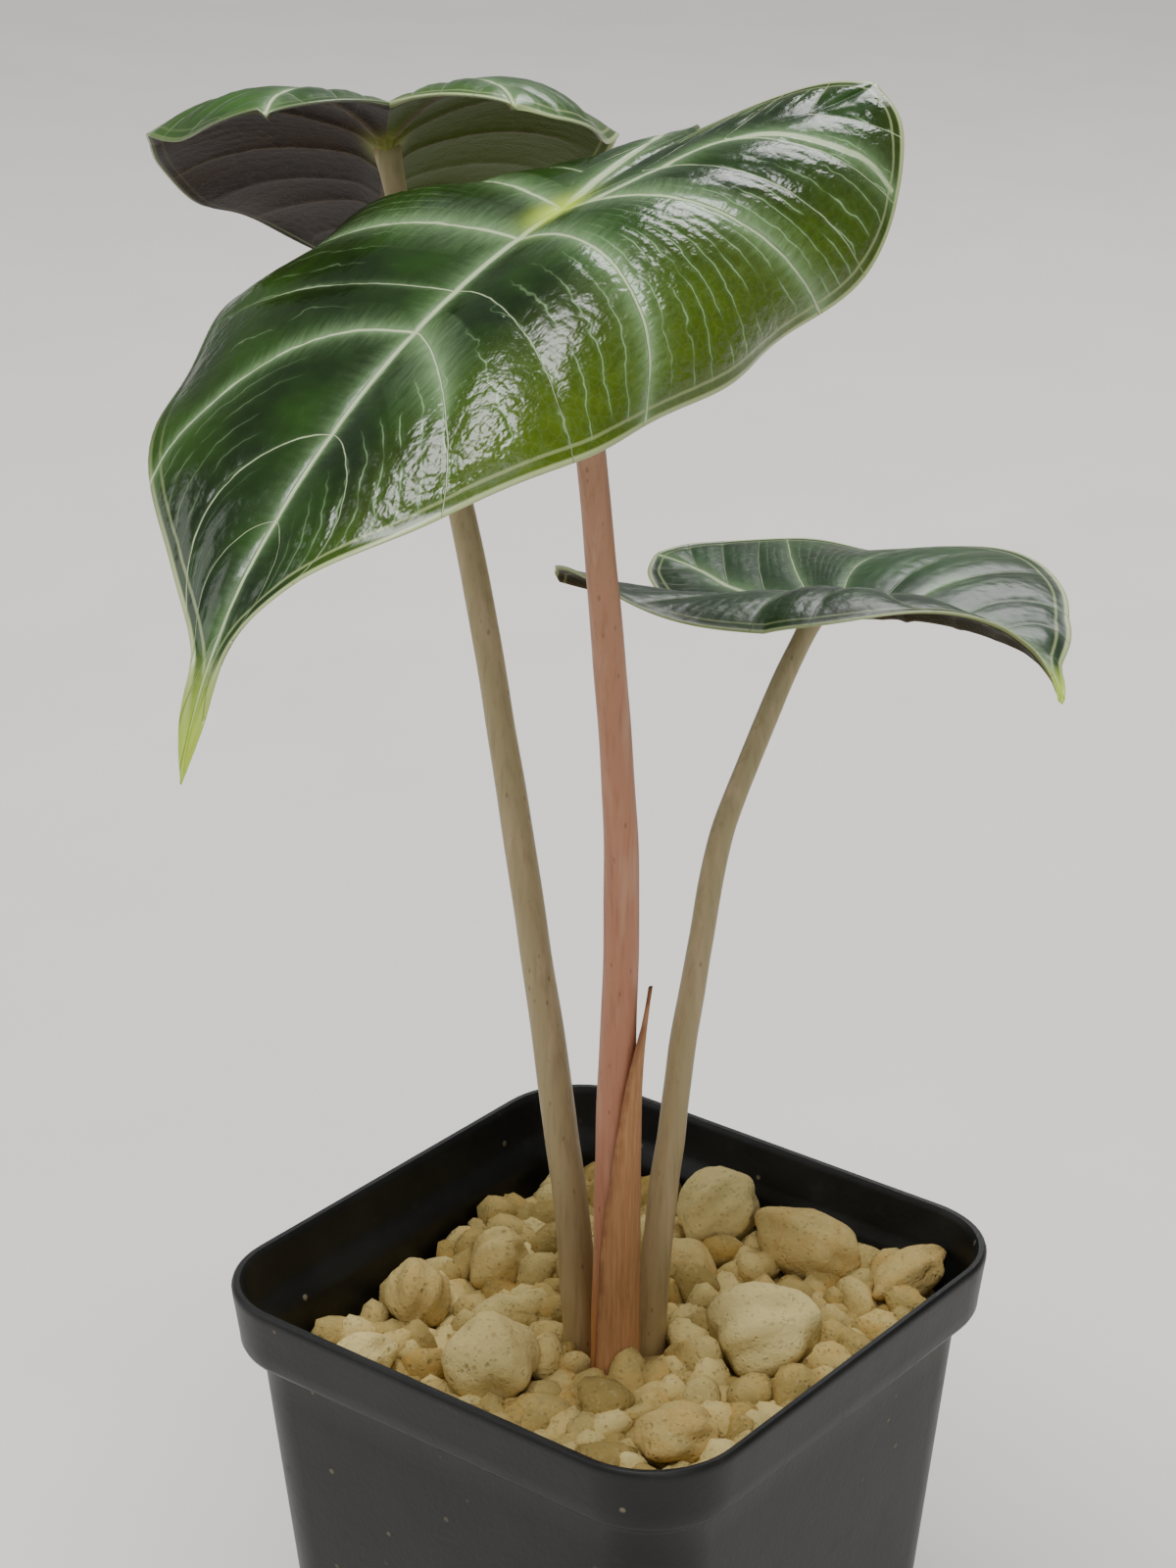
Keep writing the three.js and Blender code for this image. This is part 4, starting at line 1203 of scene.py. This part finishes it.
@dataclass
class Net:
    """Vertices of one face of a blade, laid flat, and the grids of their numbers.

    plan holds their places, side is 1 on the right half and -1 on the left, phase the vein number, w
    the share of the way from rib to margin, pitch the distance between side veins, and inner 1 on a
    lobe's inner patch. The grids are the right half's outer and inner patch, then the left half's.
    """

    plan: np.ndarray
    side: np.ndarray
    phase: np.ndarray
    w: np.ndarray
    pitch: np.ndarray
    inner: np.ndarray
    grids: list[np.ndarray]

    @property
    def xy(self) -> tuple[np.ndarray, np.ndarray]:
        """Distance from the midrib's line, and place along it."""
        return np.abs(self.plan[:, 0]), self.plan[:, 1]


@dataclass
class Marks:
    """What each vertex of a blade lies near, in millimetres.

    edge and rib_gap are the distances from the margin and the nearest rib, and rib_half that rib's
    half width. size is the nearest side vein's weight in relief, core and halo its line and glow, and
    gap the distance from it. up_rib is where it leaves the rib. middle and normal are in space.
    """

    edge: np.ndarray
    rib_gap: np.ndarray
    rib_half: np.ndarray
    size: np.ndarray
    core: np.ndarray
    halo: np.ndarray
    gap: np.ndarray
    up_rib: np.ndarray
    middle: np.ndarray
    normal: np.ndarray


@dataclass
class Blade:
    """One leaf blade. Sizes, placing and bends are those of the CAD node that it stands for."""

    name: str
    at: Point
    yaw: float
    pitch: float
    roll: float
    length: float
    width: float
    lobe: float
    drip: float
    sinus: float
    bend: Point
    rise: Pair
    curl: Pair
    lobe_curl: Pair
    wave: float
    seed: float
    # glow and the next field are shares of painted light on each half: a green glow of light shining through
    # the upper and the lower face.
    glow: Pair
    painted_under_glow: Pair
    vein_level: float
    lobe_rise: Pair = (0, 0)
    full: Pair = (1, 1)
    fine_level: Pair = (0.25, 0.25)
    # Painted shade: share by which each half's pale edge is darkened, away from the drip tip.
    painted_rim_shade: Pair = (0.0, 0.0)
    lobe_ribs: tuple[Line | None, Line | None] = (None, None)
    columns: int = 50
    inner_columns: int = 26
    veins: VeinPlan = field(default_factory=VeinPlan)
    margin_thick: float = 0.6
    midrib_thick: float = 2.2
    rib_spread: float = 2.4
    quilt: float = 0.6

    def frame(self) -> np.ndarray:
        """Directions of the blade in space.

        Returns:
            Columns: to the blade's right, to its tip and up from its face.
        """
        a, b, c = (math.radians(v) for v in (self.yaw, self.pitch, self.roll))
        tip = np.array([math.sin(a) * math.cos(b), math.cos(a) * math.cos(b), -math.sin(b)])
        right = np.array([math.cos(a), -math.sin(a), 0.0])
        rolled = right * math.cos(c) + np.cross(right, tip) * math.sin(c)
        return np.stack([rolled, tip, np.cross(rolled, tip)], axis=1)

    def outlines(self, half: Half) -> tuple[np.ndarray, np.ndarray, np.ndarray]:
        """Plan points of one half's outer margin, inner margin and lobe's rib.

        Args:
            half: the blade's half.

        Returns:
            The three lines.
        """
        L, W, B, T = self.length, self.width * half.of(self.full), self.lobe, self.drip
        outer = [(0, L + T), (0.9, L + 0.62 * T), (1.9, L + 0.25 * T), (0.1 * W, L), (0.27 * W, 0.9 * L),
                 (0.56 * W, 0.72 * L), (0.82 * W, 0.47 * L), (0.97 * W, 0.18 * L), (W, -0.25 * B),
                 (0.9 * W, -0.62 * B), (0.68 * W, -0.9 * B), (0.48 * W, -B)]
        notch = np.array([(0.48, 0), (0.3, 0.2), (0.14, 0.567), (0.04, 0.867), (0, 1)])
        inner = np.c_[notch[:, 0] * W, ((1 - self.sinus) * notch[:, 1] - 1) * B]
        rib = [(0, 0), (0.1 * W, -0.2 * B), (0.26 * W, -0.48 * B), (0.42 * W, -0.74 * B), (0.48 * W, -B)]
        return np.array(outer), inner, np.array(rib)

    def spine(self, half: Half) -> np.ndarray:
        """Plan line of the midrib and of one half's lobe rib where its pale line runs.

        Args:
            half: the blade's half.

        Returns:
            Points of the line.
        """
        own, line = half.of(self.lobe_ribs), self.outlines(half)[2]
        if own:
            line = np.array(own) * [self.width * half.of(self.full), self.lobe]
        return np.vstack([[0, self.length + self.drip], smooth_line(line, np.linspace(0, 1, 120))])

    def rib_place(self, share: np.ndarray) -> np.ndarray:
        """Place along the midrib where a rung starts: (length + drip) (1 - (share / FORE)^0.86)."""
        return (self.length + self.drip) * (1 - np.clip(share / FORE, 0, 1) ** 0.86)

    def bend_at(self, y: np.ndarray) -> np.ndarray:
        """How far the rib has turned down at y: curvature times y, and more past the shoulder."""
        ahead, behind, tip = self.bend
        return np.where(y > 0, ahead, behind) * y + tip * np.clip(y - 0.86 * self.length, 0, None)

    def surface(self, half: Half, x: np.ndarray, y: np.ndarray) -> np.ndarray:
        """Middle surface: y carried along the rib's bend, then x round the half's curl.

        along, drop = integrals of cos and -sin of bend over 0..y; across, lift = integrals of cos
        and sin of rise - curl (x / width)^1.6 over 0..x, where rise and curl change along the lobe.

        Args:
            half: the blade's half.
            x: distances from the midrib.
            y: places along the midrib.

        Returns:
            Points in the plant's frame.
        """
        steps = (np.arange(12) + 0.5) / 12
        angle = self.bend_at(y[..., None] * steps)
        along, drop = np.cos(angle).mean(-1) * y, -np.sin(angle).mean(-1) * y
        back = np.clip(-y / self.lobe, 0, 1)
        curl = half.of(self.curl) * (1 + half.of(self.lobe_curl) * back)
        turn = (np.radians(half.of(self.rise) + half.of(self.lobe_rise) * back ** 2)[..., None]
                - curl[..., None] * np.clip(x[..., None] * steps / self.width, 0, 1.1) ** 1.6)
        across, lift = np.cos(turn).mean(-1) * x, np.sin(turn).mean(-1) * x
        tilt = self.bend_at(y)
        local = [half.value * across, along + lift * np.sin(tilt), drop + lift * np.cos(tilt)]
        return np.stack(local, axis=-1) @ self.frame().T + self.at

    def upward(self, half: Half, x: np.ndarray, y: np.ndarray) -> np.ndarray:
        """Normals of one half's surface: the cross product of a small step along x and one along y.

        Args:
            half: the blade's half.
            x: distances from the midrib.
            y: places along the midrib.

        Returns:
            Vectors of length 1.
        """
        here, step = self.surface(half, x, y), 0.05
        beside, ahead = self.surface(half, x + step, y), self.surface(half, x, y + step)
        return half.value * unit(np.cross(beside - here, ahead - here))

    def normals(self, half: Half, x: np.ndarray, y: np.ndarray) -> np.ndarray:
        """Upward normals, blended between the halves near the rib by a bell curve of x.

        Args:
            half: the blade's half.
            x: distances from the midrib.
            y: places along the midrib.

        Returns:
            Vectors of length 1.
        """
        crease = unit(self.upward(Half.RIGHT, 0 * x, y) + self.upward(Half.LEFT, 0 * x, y))
        share = hump(x, 2.2)[..., None]
        return unit(self.upward(half, x, y) * (1 - share) + crease * share)

    def columns_at(self, count: int) -> np.ndarray:
        """Shares across a half, closer together at the rib and at the margin."""
        t = np.linspace(0, 1, count + 1)
        return 0.45 * t + 0.55 * (1 - np.cos(math.pi * t)) / 2

    def patches(self, half: Half) -> list[tuple[np.ndarray, np.ndarray, np.ndarray, float]]:
        """Plan grids of one half.

        Rungs run from the rib to the margin, straight apart from a bow of 0.12 of their length, and
        the lobe's inner patch runs from its rib to the inner margin.

        Args:
            half: the blade's half.

        Returns:
            For each patch its plan points, vein numbers, shares of the way across, and 1 if inner.
        """
        outer, inner, rib = self.outlines(half)
        phase, w = self.veins.phases(), self.columns_at(self.columns)
        a = self.veins.margin_share(half, phase, w)
        on_lobe = smooth_line(rib, np.clip((a.ravel() - FORE) * 3, 0, 1)).reshape(*a.shape, 2)
        start = np.where((a > FORE)[..., None], on_lobe, np.stack([0 * a, self.rib_place(a)], -1))
        rung = smooth_line(outer, a.ravel()).reshape(*a.shape, 2) - start
        flat = start + rung * w[None, :, None]
        flat[..., 1] -= 0.12 * (w * (1 - w))[None] * np.linalg.norm(rung, axis=-1)
        lobe_phase = phase[sum(self.veins.rows[:self.veins.stalk]):]
        share = self.veins.margin_share(half, lobe_phase, np.zeros(1))[:, 0]
        share = np.clip((share - FORE) * 3, 0, 1)
        v = self.columns_at(self.inner_columns)
        root, end = smooth_line(rib, share)[:, None], smooth_line(inner, 1 - share)[:, None]
        back = root + (end - root) * v[None, :, None]
        return [(flat, *np.broadcast_arrays(phase[:, None], w), 0.0),
                (back, *np.broadcast_arrays(lobe_phase[:, None], v), 1.0)]

    def pitch_of(self, flat: np.ndarray, phase: np.ndarray) -> np.ndarray:
        """Distance between side veins at each place: area of one step over the rung's length.

        Args:
            flat: plan grid.
            phase: its vein numbers.

        Returns:
            Distances, 0.5 to 60.
        """
        down = np.gradient(flat, axis=0) / np.maximum(np.gradient(phase, axis=0), 1e-6)[..., None]
        over = np.gradient(flat, axis=1)
        area = np.abs(down[..., 0] * over[..., 1] - down[..., 1] * over[..., 0])
        return np.clip(area / np.maximum(np.linalg.norm(over, axis=-1), 1e-6), 0.5, 60)

    def net(self) -> Net:
        """Both halves' patches as one set of vertices, those at the same place merged.

        Returns:
            The blade's face, laid flat.
        """
        grids, tables, count = [], [], 0
        for half in Half:
            for flat, phase, w, inner in self.patches(half):
                grids.append(count + np.arange(phase.size).reshape(phase.shape))
                count += phase.size
                values = [phase, w, self.pitch_of(flat, phase), np.full(phase.shape, inner)]
                plan = flat * [half.value, 1]
                table = [plan[..., 0], plan[..., 1], np.full(phase.shape, half.value), *values]
                tables.append(np.stack(table, -1).reshape(count - grids[-1][0, 0], -1))
        table = np.vstack(tables)
        places = np.round(table[:, :2], 3) + 0.0
        _, first, merged = np.unique(places, axis=0, return_index=True, return_inverse=True)
        merged = merged.reshape(-1)
        return Net(table[first, :2], *table[first, 2:].T, [merged[grid] for grid in grids])

    def measure(self, net: Net) -> Marks:
        """Distances from margin, ribs and veins, and the middle surface with its normals.

        Args:
            net: the blade's face, laid flat.

        Returns:
            The measures of each vertex.
        """
        (x, y), places = net.xy, np.linspace(0, 1, 160)
        fold = np.c_[x, y]
        edge, rib_gap, core, halo = (np.zeros(len(x)) for _ in range(4))
        middle, normal = (np.zeros((len(x), 3)) for _ in range(2))
        for half in Half:
            own = net.side == half.value
            gaps = [distance_to(fold[own], smooth_line(line, places)) for line in self.outlines(half)[:2]]
            edge[own] = np.minimum(*gaps)
            rib_gap[own] = distance_to(fold[own], self.spine(half))
            core[own], halo[own] = self.veins.strengths(half, net.phase[own], net.w[own])
            middle[own] = self.surface(half, x[own], y[own])
            normal[own] = self.normals(half, x[own], y[own])
        up_rib = np.interp(net.phase, np.arange(len(self.veins.starts)), self.veins.starts)
        on_midrib = 0.22 + 0.6 * (up_rib / FORE) ** 0.9
        rib_half = np.where(up_rib < FORE, on_midrib, 0.82 - 0.4 * (up_rib - FORE) * 3)
        clear = self.veins.stalk + 0.6
        inner_core = np.where(net.phase < clear, 0.0, core * 0.6 * np.clip(net.w * 3, 0, 1))
        core = np.where(net.inner > 0, inner_core, core)
        halo = np.where(net.inner > 0, halo * 0.3 * np.clip((net.phase - clear) * 3, 0, 1), halo)
        gap = np.abs(net.phase - np.round(net.phase)) * net.pitch
        return Marks(edge, rib_gap, rib_half, core / 0.45, core * self.vein_level, halo * self.vein_level,
                     gap, up_rib, middle, normal)

    def relief(self, net: Net, near: Marks) -> tuple[np.ndarray, np.ndarray]:
        """Lift of the upper face, and thickness.

        The lift sums quilting between side veins, small swells between fine ones, a groove on each
        side vein, the margin's ripple, crumples, a groove on the ribs and a bead on the edge. The
        thickness grows towards the ribs and side veins and thins at the edge.

        Args:
            net: the blade's face, laid flat.
            near: its measures.

        Returns:
            Lift and thickness of each vertex.
        """
        x, y = net.xy
        fine, between = self.veins.fine(net.phase)
        outer, inside = 1 - net.inner, np.clip(near.edge / 2, 0, 1)
        room = np.clip(net.pitch / 9, 0, 1) * np.clip(near.edge / 3, 0, 1)
        arch = np.sin(math.pi * np.clip(net.w, 0, 1)) ** 0.8
        swell = np.abs(np.sin(math.pi * (fine + 0.12 * np.sin(0.5 * y + x))))
        crumple = np.sin(1.9 * x + 0.8 * np.sin(0.9 * y)) * np.sin(1.6 * y + np.sin(1.1 * x))
        ripple = net.w ** 3 * np.sin(0.21 * y + 1.7 * net.side + 3 * self.seed)
        lift = self.quilt * np.abs(np.sin(math.pi * net.phase)) ** 0.8 * arch * room
        lift += 0.05 * swell * arch * np.clip(net.pitch / between / 2, 0, 1)
        lift += self.wave * ripple * outer - 0.16 * hump(near.gap, 0.8) * near.size * inside * outer
        lift += 0.05 * crumple * arch * room - 0.12 * hump(near.rib_gap, near.rib_half * 0.8 + 0.2)
        lift += 0.1 * hump(near.edge, 0.5)
        to_rib = np.clip(1 - net.w, 0, 1)
        taper = np.clip((self.length + self.drip - y) / self.length, 0, 1)
        ribbed = hump(x, self.rib_spread) * taper * np.where(y > -0.05 * self.lobe, 1, 0.3)
        thick = self.margin_thick + (self.midrib_thick - self.margin_thick) * ribbed
        thick += 0.75 * hump(near.rib_gap, 1.3) * to_rib * np.clip(-y / 4, 0, 1)
        thick += 0.26 * near.size * hump(near.gap, 0.8) * to_rib ** 0.5 * inside
        return lift, thick * np.clip(0.45 + near.edge / 1.2, 0.45, 1)

    def attributes(self, net: Net, near: Marks) -> dict[str, np.ndarray]:
        """Numbers that the skins read, three to an attribute.

        Args:
            net: the blade's face, laid flat.
            near: its measures.

        Returns:
            Attributes by name.
        """
        x, y = net.xy
        phase, w = net.phase, net.w
        glow, painted_under_share, level, dim = (np.where(net.side > 0, *pair) for pair in (
            self.glow, self.painted_under_glow, self.fine_level, self.painted_rim_shade))
        fine, between = self.veins.fine(phase)
        knot = np.minimum(1, 1.1 * hump(x, 2.5) * hump(y - 0.8, 4.6))
        tip = climb(y, self.length + 0.1 * self.drip, 0.6 * self.drip) * 0.85
        # Painted light: mask of a green glow of light shining through, towards the margin and away from the
        # drip tip.
        painted_glow = glow * climb(w, 0.4, 0.45) * climb(phase, 2.5, 2) * np.clip(3.4 - phase / 3, 0.3, 1)
        fine_show = level * climb(w, 0.25, 0.3) * climb(near.edge, 1.2, 1.0) * climb(phase, 1.6, 2)
        rung_start = np.where(phase < self.veins.stalk, self.rib_place(near.up_rib), 0)
        way = w * np.hypot(x, y - rung_start) / np.maximum(w, 0.05)
        # tone carries the yellow of the knot and the tip, then two masks of painted light.
        return {"veins": np.c_[phase, net.pitch, near.core],
                "fine": np.c_[fine, net.pitch / between, fine_show],
                "spread": np.c_[near.rib_gap, near.rib_half, near.edge],
                "tone": np.c_[np.maximum(knot, tip), painted_glow, painted_under_share],
                # The last number of glow is how much of the pale edge shows through its painted shade.
                "glow": np.c_[near.halo, way, 1 - dim * climb(phase, 3.2, 1.2)]}

    def build(self, skins: list[bpy.types.Material]) -> None:
        """Builds both faces and a rounded edge of three rows between them.

        Upper face = middle surface + normal (lift + 0.4); lower face = upper - normal thickness; edge
        row s = upper (1 - s) + lower s + outward 0.24 sin(pi s).

        Args:
            skins: materials of the upper and the lower face.
        """
        net = self.net()
        near = self.measure(net)
        lift, thick = self.relief(net, near)
        upper = near.middle + near.normal * (lift + 0.4)[:, None]
        lower = upper - near.normal * thick[:, None]
        faces = np.vstack([grid_faces(grid) for grid in net.grids])
        a, b, c, d = (net.plan[faces[:, k]] for k in range(4))
        p, q = c - a, d - b
        flip = p[:, 0] * q[:, 1] - p[:, 1] * q[:, 0] < 0
        faces[flip] = faces[flip][:, ::-1]
        top = tidy_faces(faces)
        total = len(net.plan)
        under = [[total + v for v in f[::-1]] for f in top]
        right, right_inner, left, left_inner = (grid[:, -1] for grid in net.grids)
        loop = np.concatenate([right, right_inner[::-1], left_inner, left[::-1]])
        loop = loop[loop != np.roll(loop, 1)]
        tangent = unit(np.roll(upper[loop], -1, axis=0) - np.roll(upper[loop], 1, axis=0))
        outward = unit(np.cross(near.normal[loop], tangent))
        edge = [upper[loop] * (1 - s) + lower[loop] * s + outward * (0.24 * math.sin(math.pi * s))
                for s in (0.25, 0.5, 0.75)]
        rows = 2 * total + np.arange(len(edge) * len(loop)).reshape(len(edge), -1)
        rows = np.vstack([loop, rows, total + loop])
        rim = grid_faces(np.hstack([rows, rows[:, :1]])).tolist()
        source = np.r_[np.arange(total), np.arange(total), np.tile(loop, len(edge))]
        vectors = {key: value[source] for key, value in self.attributes(net, near).items()}
        slots = [0] * len(top) + [1] * len(under) + [0] * len(rim)
        Piece(f"leaf_{self.name}", f"{self.name}_leaf", f"blade_{self.name}",
              in_part(np.vstack([upper, lower, *edge])), top + under + rim, skins, vectors,
              net.plan[source], slots).build()


BLADES = [
    Blade("front", (-6.7, -29.0, 166.2), yaw=221, pitch=14, roll=-6, length=75, width=39.5, lobe=41,
          drip=17, sinus=0.66, bend=(0.0082, 0.0022, 0.008), rise=(8.4, 13), curl=(0.6, 2.1),
          lobe_curl=(5.6, 0.0), wave=0.9, seed=0.4, glow=(0.1, 0.9), painted_under_glow=(0.5, 0.2),
          vein_level=1.0, lobe_rise=(-33, 8), full=(1.14, 1), fine_level=(0.35, 1.0), painted_rim_shade=(0.85, 0.0),
          lobe_ribs=(((0, 0), (0.03, -0.2), (0.07, -0.47), (0.16, -0.68), (0.28, -0.85), (0.36, -0.95)),
                     ((0, 0), (0.07, 0), (0.16, -0.1), (0.2, -0.26), (0.24, -0.42), (0.33, -0.52),
                      (0.41, -0.57), (0.51, -0.61), (0.6, -0.65), (0.68, -0.69), (0.8, -0.72)))),
    Blade("left", (-32.2, 30.0, 163.1), yaw=354.7, pitch=32.3, roll=-2.5, length=68, width=33.5,
          lobe=43.7, drip=15, sinus=0.69, bend=(-0.0016, 0.0143, 0.01), rise=(22.5, 12.3),
          curl=(0.966, 0.636), lobe_curl=(1.12, 1.48), wave=0.7, seed=2.1, glow=(0.5, 0.2),
          painted_under_glow=(0.9, 0.0), vein_level=0.6, painted_rim_shade=(0.0, 0.75)),
    Blade("right", (29.2, 14.0, 98.9), yaw=106.6, pitch=-12.8, roll=45.8, length=36.5, width=29, lobe=35,
          drip=7, sinus=0.6, bend=(0.0195, -0.0106, 0.05), rise=(-12, 50), curl=(1.06, 0.28),
          lobe_curl=(-0.9, -0.9), wave=0.5, seed=4.0, glow=(0.1, 0.1), painted_under_glow=(0.15, 0.1),
          vein_level=0.35, full=(1, 1.24)),
]

LEAF_TOPS = {
    "front": BladeTop("leaf_top_front"),
    # Painted light: the left leaf's greens are lighter, a lit copy of the front leaf's skin.
    "left": BladeTop("leaf_top_left_lit", deep=0x1d3a10, fresh=0x3a641e, matt=0.1),
    "right": BladeTop("leaf_top_right", deep=0x12240f, fresh=0x264a20, matt=0.14),
}


class LightKind(Enum):
    """Kind of light: a square softbox, or an even one from far away."""

    SOFTBOX = "AREA"
    DISTANT = "SUN"


@dataclass
class Lamp:
    """Light aimed at a point, in metres in the part's frame.

    size is the width of a softbox in metres, or the spread of a distant light in radians. power is in
    watts, or in watts for each square metre.
    """

    name: str
    at: Point
    size: float
    power: float
    kind: LightKind = LightKind.SOFTBOX
    aim: Point = (-0.02, -0.03, 0.2)

    def build(self) -> None:
        """Places the light and turns it to its aim."""
        data = bpy.data.lights.new(self.name, self.kind.value)
        data.energy = self.power
        if self.kind is LightKind.SOFTBOX:
            data.shape, data.size = "SQUARE", self.size
        else:
            data.angle = self.size
        lamp = add_object(self.name, data)
        x, y, z = np.subtract(self.aim, self.at)
        lamp.location = self.at
        lamp.rotation_euler = (math.atan2(math.hypot(x, y), -z), 0.0, math.atan2(y, x) - math.pi / 2)


@dataclass
class Studio:
    """Pale floor, soft lights and the camera at the photograph's viewpoint."""

    floor_half: float = 40.0
    sky: Rgba = (0.94, 0.96, 1.0, 1.0)
    sky_power: float = 0.17
    camera_at: Point = (0.267955, -0.346493, 0.358)
    camera_turn: Point = (math.radians(67.6), 0.0, math.radians(38.2))
    lens: float = 76.5
    sensor: float = 36.0
    lamps: tuple[Lamp, ...] = (
        Lamp("key", (0.02, -0.3, 1.4), 0.85, 8.5),
        Lamp("back", (-0.3, 0.9, 1.1), 0.6, 8.0),
        Lamp("left", (-0.9, -0.7, 0.7), 0.8, 3.5),
        Lamp("right", (1.0, -0.7, 0.8), 0.9, 4.5),
        Lamp("even", (0.02, -0.3, 1.4), math.radians(32), 2.5, LightKind.DISTANT),
    )

    def build(self, floor_finish: bpy.types.Material) -> None:
        """Makes the floor, the world, the lights and the camera.

        Args:
            floor_finish: the floor's material.
        """
        h = self.floor_half
        mesh = bpy.data.meshes.new("floor")
        mesh.from_pydata([(-h, -h, 0), (h, -h, 0), (h, h, 0), (-h, h, 0)], [], [(0, 1, 2, 3)])
        mesh.materials.append(floor_finish)
        add_object("floor", mesh)
        world = bpy.data.worlds.new("studio")
        world.use_nodes = True
        back = world.node_tree.nodes["Background"]
        back.inputs[0].default_value, back.inputs[1].default_value = self.sky, self.sky_power
        bpy.context.scene.world = world
        for lamp in self.lamps:
            lamp.build()
        data = bpy.data.cameras.new("camera")
        data.sensor_fit, data.sensor_height, data.lens = "VERTICAL", self.sensor, self.lens
        data.clip_start, data.clip_end = 0.01, 50.0
        camera = add_object("camera", data)
        camera.location, camera.rotation_euler = self.camera_at, self.camera_turn
        bpy.context.scene.camera = camera


def dress_crown(crown: bpy.types.Object) -> None:
    """Gives the CAD crown its bark, in place.

    Args:
        crown: the node's object.
    """
    crown.data.materials.clear()
    crown.data.materials.append(CrownBark().material())
    for slot in crown.material_slots:
        slot.link = "OBJECT"
        slot.material = crown.data.materials[0]
    LOG.info("crown: finished in place")


def main() -> None:
    """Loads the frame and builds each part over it."""
    logging.basicConfig(level=logging.INFO, format="%(name)s %(message)s")
    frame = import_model()
    Studio().build(PaleFloor().material())
    pot = NurseryPot()
    pot.build(BlackPlastic().material())
    minerals = {True: Mineral("pale_pumice", 0xdccb8c, 0xbba568, 0xc2a05e, 1.8).material(),
                False: Mineral("tan_stone", 0xcbb678, 0xa08a4c, 0xb28c48, 1.5).material()}
    for stone in STONES:
        stone.build(minerals)
    blocks = [(*stone.at[:2], 0.8 * min(stone.half[:2])) for stone in STONES]
    blocks += [(*stalk.points[0][:2], stalk.foot) for stalk in STALKS.values()]
    GravelBed(pot).build(Mineral("gravel_grit", 0xd2bf80, 0x927d44, 0xb8954c, 1.3).material(), blocks)
    pink = StalkSkin("pink_stalk", 0xb0703a, 0xb67a5c, 0xb0785a, 0xa07c5c).material()
    tan = StalkSkin("tan_stalk", 0x9c8456, 0xa8956c, 0xa4946c, 0x9c926a).material()
    for stalk in STALKS.values():
        stalk.build(pink if stalk.name == "front" else tan)
    Sheath(STALKS["front"]).build(DrySheath().material())
    for blade in BLADES:
        blade.build([LEAF_TOPS[blade.name].material(), BladeUnder(f"leaf_under_{blade.name}").material()])
    dress_crown(frame["nodes"]["crown"])


if __name__ == "__main__":
    main()
